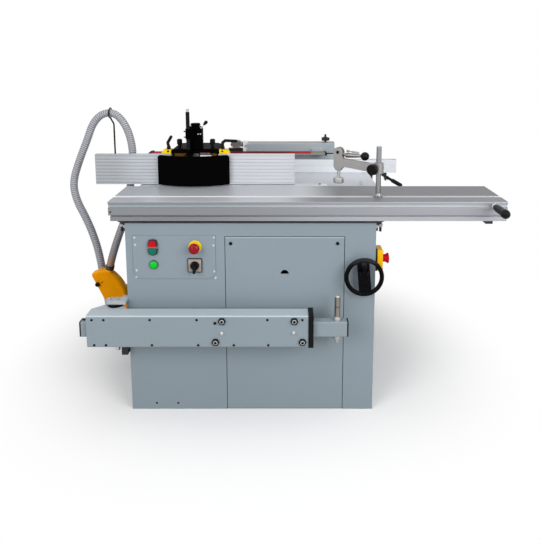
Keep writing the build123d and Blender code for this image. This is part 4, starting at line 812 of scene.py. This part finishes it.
round_edges(hem_mesh, hem_mesh.edges[:], 0.0022, segments=3)
fit_piece("guard_arm_hems", hem_mesh, guard_paint, "planer_guard_arm_body")
SHADED_PLATE_RED, LIT_RED = (0.13, 0.006, 0.009), (0.4, 0.010, 0.014)
TAN, BARE_GREY = (0.27, 0.24, 0.165), (0.24, 0.25, 0.275)
BARE_BACK, BARE_LEFT, TAN_LEFT = 0.1665, -0.40, 0.255
CAP_LEFT, CAP_RIGHT = -0.51, 0.322
LEFT_RED_FADE, RIGHT_RED_FADE = (-0.43, -0.36), (0.12, 0.21)
# The plate's middle is a darker red, painted shade under the hood, and it fades to lit red at both ends.
red_plate = powder_coat(
    "red_plate_coat",
    SHADED_PLATE_RED,
    [
        (
            lambda place: (1 - place.rise("X", *LEFT_RED_FADE)).most(place.rise("X", *RIGHT_RED_FADE)),
            LIT_RED,
        ),
        (lambda place: place.axis("X") > TAN_LEFT, TAN),
        (lambda place: (place.axis("Y") < BARE_BACK) * (place.axis("X") > BARE_LEFT), BARE_GREY),
        (lambda place: (place.axis("X") < CAP_LEFT).most(place.axis("X") > CAP_RIGHT), COAL),
    ],
    shine=0.02,
)
dress(red_plate, "planer_guard_plate")
HUB_RIGHT, HUB_FOOT, HUB_GREY = -0.0785, 0.95, (0.16, 0.14, 0.13)
GRIP_LOW = 0.9
bracket_tones = [
    (lambda place: (place.axis("X") < HUB_RIGHT) * (place.axis("Z") > HUB_FOOT), HUB_GREY),
    (lambda place: (place.axis("X") < HUB_RIGHT) * place.between("Z", GRIP_LOW, HUB_FOOT), COAL),
]
bracket_metal = drawn_metal("bracket_metal", (0.74, 0.785, 0.81), EVEN_GRAIN, 0.4, bracket_tones, bare=0.1)
dress(bracket_metal, "guard_bracket")
HUB_FACE = (-0.111, 0.262, 0.968)
HUB_WIDE, HUB_HIGH = 0.0285, 0.0185
HUB_RIM = [(0.023, 0.0), (0.0235, 0.002), (0.0285, 0.002), (0.0285, -0.002), (0.023, -0.002), (0.023, 0.0)]
rim_mesh = bmesh.new()
turned(rim_mesh, HUB_RIM, (0, 0, 0), FRONT)
oval = Matrix.Translation(HUB_FACE) @ Matrix.Diagonal((1, 1, HUB_HIGH / HUB_WIDE, 1))
bmesh.ops.transform(rim_mesh, matrix=oval, verts=rim_mesh.verts)
fit_piece("bracket_hub_rim", rim_mesh, zinc, "base")
bracket_places = [(-0.0661, 0.262, 0.961)]
screw_heads("bracket_screw", bracket_places, FRONT, 0.0055, zinc, "base")

# The rip fence is a pale aluminium profile on a black head that hooks over a bar at the table's edge.
# A black lever with a thick grip locks it.
RIP_FOOT, RIP_TOP, RIP_SHADE = 0.8607, 0.9235, (0.21, 0.22, 0.235)
# The fence's top is painted darker as painted shade.
rip_tones = [
    (lambda place: place.axis("Z") < RIP_FOOT, COAL),
    (lambda place: place.axis("Z") > RIP_TOP, RIP_SHADE),
]
rip_metal = drawn_metal("rip_fence_extrusion", (0.66, 0.68, 0.715), LONG_GRAIN, 0.42, rip_tones, bare=0.3)
dress(rip_metal, "rip_fence")
dress(zinc, "rip_fence_rail")
dress(black, "rip_fence_lever")

# The hold-down clamp is a rough aluminium casting on a bright post, with an eccentric lever.
# The lever's ball and the lock knob are black plastic, and a thin turned link lies above the lever.
LEVER_BALL = (0.4422, -0.3553, 1.014)
BALL_REACH = 0.0176
CLAMP_SIDE = Vector((-0.512, -0.859, 0))
KNOB_FRONT = 0.1033
CAST_GRAIN = (150, 150, 150)
lock_knob = [
    (lambda place: (CLAMP_SIDE.x * place.axis("X") + CLAMP_SIDE.y * place.axis("Y")) > KNOB_FRONT, COAL)
]
cast_metal = drawn_metal(
    "clamp_casting", (0.29, 0.285, 0.28), CAST_GRAIN, 0.45, lock_knob, bare=0.6, shine=0.12
)
dress(cast_metal, "clamp_arm")
black_ball = [(lambda place: place.apart(LEVER_BALL) < BALL_REACH, COAL)]
lever_metal = drawn_metal("clamp_lever_metal", (0.17, 0.155, 0.15), EVEN_GRAIN, 0.26, black_ball)
dress(lever_metal, "clamp_lever")
dress(zinc, "clamp_foot")
post_steel = drawn_metal("clamp_post_steel", (0.27, 0.28, 0.29), (900, 900, 60), 0.26)
dress(post_steel, "clamp_post")
CLAMP_PIVOT = Vector((0.346, -0.298, 1.0225))
HEAD_HALF, LINK_SHARE = 0.011, 0.3
LINK = [(0, 0), (0.004, 0), (0.0046, 0.002), (0.0046, 0.010), (0.0024, 0.012), (0.0024, 0.022)]
LINK += [(0.004, 0.024), (0.004, 0.050), (0.0026, 0.054), (0, 0.054)]
LINK_RISE = Vector((0, 0, 0.0095))
link_mesh = bmesh.new()
link_place = CLAMP_PIVOT.lerp(Vector(LEVER_BALL), LINK_SHARE) + LINK_RISE
turned(link_mesh, LINK, link_place, Vector(LEVER_BALL) - CLAMP_PIVOT)
fit_piece("clamp_link", link_mesh, cast_metal, "clamp_lever_body")
pivot_place = CLAMP_PIVOT + CLAMP_SIDE * HEAD_HALF
screw_heads("clamp_pivot_bolt", [pivot_place], CLAMP_SIDE, 0.0062, black, "clamp_arm_body")

# The saw's guard is stored at the left wall, nose down: orange moulded plastic with a black hand knob.
# A black hanger above it carries its hose.
GUARD_HOLE, GUARD_HOLE_RADIUS = (-0.6496, -0.222, 0.4462), 0.0034
GUARD_FACE = -0.218
ORANGE, LIT_ORANGE, HOLE_SHADE = (0.83, 0.305, 0.0), (1.0, 0.40, 0.0), (0.12, 0.05, 0.0)
# The guard's sides behind its front face are painted lighter as painted light, and a brown disc in its hole
# is painted shade.
orange_light_and_hole_shade = [
    (lambda place: place.axis("Y") > GUARD_FACE, LIT_ORANGE),
    (lambda place: place.apart(GUARD_HOLE) < GUARD_HOLE_RADIUS, HOLE_SHADE),
]
orange = moulded("orange_moulding", ORANGE, 0.42, orange_light_and_hole_shade, shine=0.04)
dress(orange, "saw_guard")
knob_mesh = bmesh.new()
GUARD_KNOB = [(0, 0.011), (0.0045, 0.011), (0.0052, 0.0125), (0.0084, 0.0115), (0.0098, 0.008)]
GUARD_KNOB += [(0.0098, 0.004), (0.0065, 0.002), (0.0065, -0.001), (0, -0.001)]
turned(knob_mesh, GUARD_KNOB, (-0.668, -0.222, 0.438), FRONT)
fit_piece("guard_knob", knob_mesh, black, "base")
dress(black, "hose_hanger")

# The extraction hose is clear grey plastic wound round a hard spiral, and it hangs from a wire ring.
# It goes from the spigot of the stored guard over the ring and down to the pipe of the dust chute.
HOSE_RADIUS = 0.017
HOSE_ROUTE = [
    (-0.6199, -0.2, 0.5053),
    (-0.6122, -0.2, 0.5384),
    (-0.588, -0.178, 0.625),
    (-0.562, -0.14, 0.706),
    (-0.548, -0.11, 0.8),
    (-0.538, -0.092, 0.9),
    (-0.532, -0.08, 0.985),
    (-0.545, -0.072, 1.058),
    (-0.572, -0.066, 1.118),
    (-0.613, -0.061, 1.157),
    (-0.667, -0.061, 1.152),
    (-0.708, -0.064, 1.108),
    (-0.733, -0.068, 1.038),
    (-0.77, -0.074, 0.95),
    (-0.802, -0.082, 0.852),
    (-0.786, -0.095, 0.775),
    (-0.74, -0.112, 0.695),
    (-0.71, -0.122, 0.624),
    (-0.687, -0.13, 0.548),
    (-0.678, -0.13, 0.484),
]
route_curve = bpy.data.curves.new("hose_route", "CURVE")
route_curve.dimensions = "3D"
route = route_curve.splines.new("NURBS")
route.points.add(len(HOSE_ROUTE) - 1)
for point, place in zip(route.points, HOSE_ROUTE):
    point.co = (*place, 1)
route.order_u = 3
route.use_endpoint_u = True
route.resolution_u = 24
route_object = bpy.data.objects.new("hose_route", route_curve)
route_line = bpy.data.meshes.new_from_object(route_object)
hose_line = [vertex.co.copy() for vertex in route_line.vertices]
bpy.data.objects.remove(route_object)
hose_reach = [0.0]
for before, after in zip(hose_line, hose_line[1:]):
    hose_reach.append(hose_reach[-1] + (after - before).length)
HOSE_LENGTH = hose_reach[-1]
RIB_PITCH = 0.009
RIB_DEPTH = 0.0016
RINGS_PER_RIB = 6
HOSE_CORNERS = 20
ring_count = round(HOSE_LENGTH / RIB_PITCH) * RINGS_PER_RIB
hose_mesh = bmesh.new()
rib_layer = hose_mesh.verts.layers.float.new("rib")
along_layer = hose_mesh.verts.layers.float.new("along")
last_edges = []
for ring in range(ring_count + 1):
    distance = HOSE_LENGTH * ring / ring_count
    step = min(bisect_right(hose_reach, distance), len(hose_line) - 1)
    share = (distance - hose_reach[step - 1]) / (hose_reach[step] - hose_reach[step - 1])
    middle = hose_line[step - 1].lerp(hose_line[step], share)
    forward = (hose_line[step] - hose_line[step - 1]).normalized()
    side = Vector(BACK) - forward * forward.y
    side.normalize()
    turn = Matrix((side, forward.cross(side), forward)).transposed().to_4x4()
    spot = Matrix.Translation(middle) @ turn
    circle = bmesh.ops.create_circle(hose_mesh, segments=HOSE_CORNERS, radius=HOSE_RADIUS, matrix=spot)
    corners = circle["verts"]
    for corner, vertex in enumerate(corners):
        phase = (ring / RINGS_PER_RIB + corner / HOSE_CORNERS) * 2 * pi
        crest = 0.5 + 0.5 * cos(phase)
        vertex.co = middle + (vertex.co - middle) * (1 - RIB_DEPTH * (1 - crest) / HOSE_RADIUS)
        vertex[rib_layer] = crest
        vertex[along_layer] = ring / ring_count
    edges = list({edge for vertex in corners for edge in vertex.link_edges})
    if last_edges:
        bmesh.ops.bridge_loops(hose_mesh, edges=last_edges + edges)
    last_edges = edges
end_edges = [edge for edge in hose_mesh.edges if edge.is_boundary]
bmesh.ops.holes_fill(hose_mesh, edges=end_edges, sides=HOSE_CORNERS)
bmesh.ops.recalc_face_normals(hose_mesh, faces=hose_mesh.faces)
for face in hose_mesh.faces:
    face.smooth = True
GROOVE_PLASTIC, CREST_PLASTIC = (0.145, 0.148, 0.166, 1), (0.44, 0.443, 0.485, 1)
# The first stretch from the guard's end is tinted brown and orange, fading out along the hose.
HOSE_END_TINT = [(0.2, 0.7, (0.17, 0.14, 0.135)), (0.05, 0.8, (0.36, 0.17, 0.05))]
hose_plastic, hose_shader, hose_place = new_finish("clear_grey_hose", 0.3)
rib = hose_place.node("ShaderNodeAttribute", {"attribute_name": "rib"}, {}, "Fac")
along = hose_place.node("ShaderNodeAttribute", {"attribute_name": "along"}, {}, "Fac")
hose_colour = rib.mix(GROOVE_PLASTIC, CREST_PLASTIC)
for tint_end, tint_amount, tint_colour in HOSE_END_TINT:
    tint_fade = {"Value": along, "From Min": 0.0, "From Max": tint_end, "To Min": tint_amount, "To Max": 0.0}
    tinted = along.node("ShaderNodeMapRange", {}, tint_fade)
    hose_colour = tinted.mix(hose_colour, (*tint_colour, 1))
hose_colour.feed(hose_shader, "Base Color")
(0.3 + 0.2 * rib).feed(hose_shader, "Roughness")
hose_data = bpy.data.meshes.new("dust_hose_ribbed")
hose_mesh.to_mesh(hose_data)
hose_mesh.free()
hose_data.materials.append(hose_plastic)
hose = bpy.data.objects.new("dust_hose_ribbed", hose_data)
bpy.context.collection.objects.link(hose)
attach(hose, "base")
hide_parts("dust_hose")

# A steel band clamps the hose on the spigot of the guard.
# It is a strap with a screw housing on its front and a small screw in it.
BAND_HALF, BAND_GAP, BAND_THICK = 0.009, 0.0003, 0.0016
HOUSING = (0.013, 0.006, 0.010)
BAND_SCREW = [(0, 0.003), (0.0022, 0.003), (0.003, 0.002), (0.003, -0.001), (0, -0.001)]
band_mesh = bmesh.new()
strap = [(HOSE_RADIUS + BAND_GAP, -BAND_HALF), (HOSE_RADIUS + BAND_THICK, -BAND_HALF)]
strap += [(HOSE_RADIUS + BAND_THICK, BAND_HALF), (HOSE_RADIUS + BAND_GAP, BAND_HALF)]
strap.append(strap[0])
band_spot = Vector(HOSE_ROUTE[0])
turned(band_mesh, strap, band_spot, Vector(HOSE_ROUTE[1]) - band_spot)
housing_spot = band_spot + Vector(FRONT) * (HOSE_RADIUS + BAND_THICK + HOUSING[1] / 2)
housing = add_box(band_mesh, housing_spot, HOUSING)
round_edges(band_mesh, list({edge for vertex in housing for edge in vertex.link_edges}), 0.0012)
turned(band_mesh, BAND_SCREW, housing_spot + Vector(RIGHT) * HOUSING[0] / 2, RIGHT)
band_steel = drawn_metal("hose_band_steel", (0.055, 0.045, 0.04), (300, 300, 300), 0.4, bare=0.7)
fit_piece("hose_band", band_mesh, band_steel, "base")
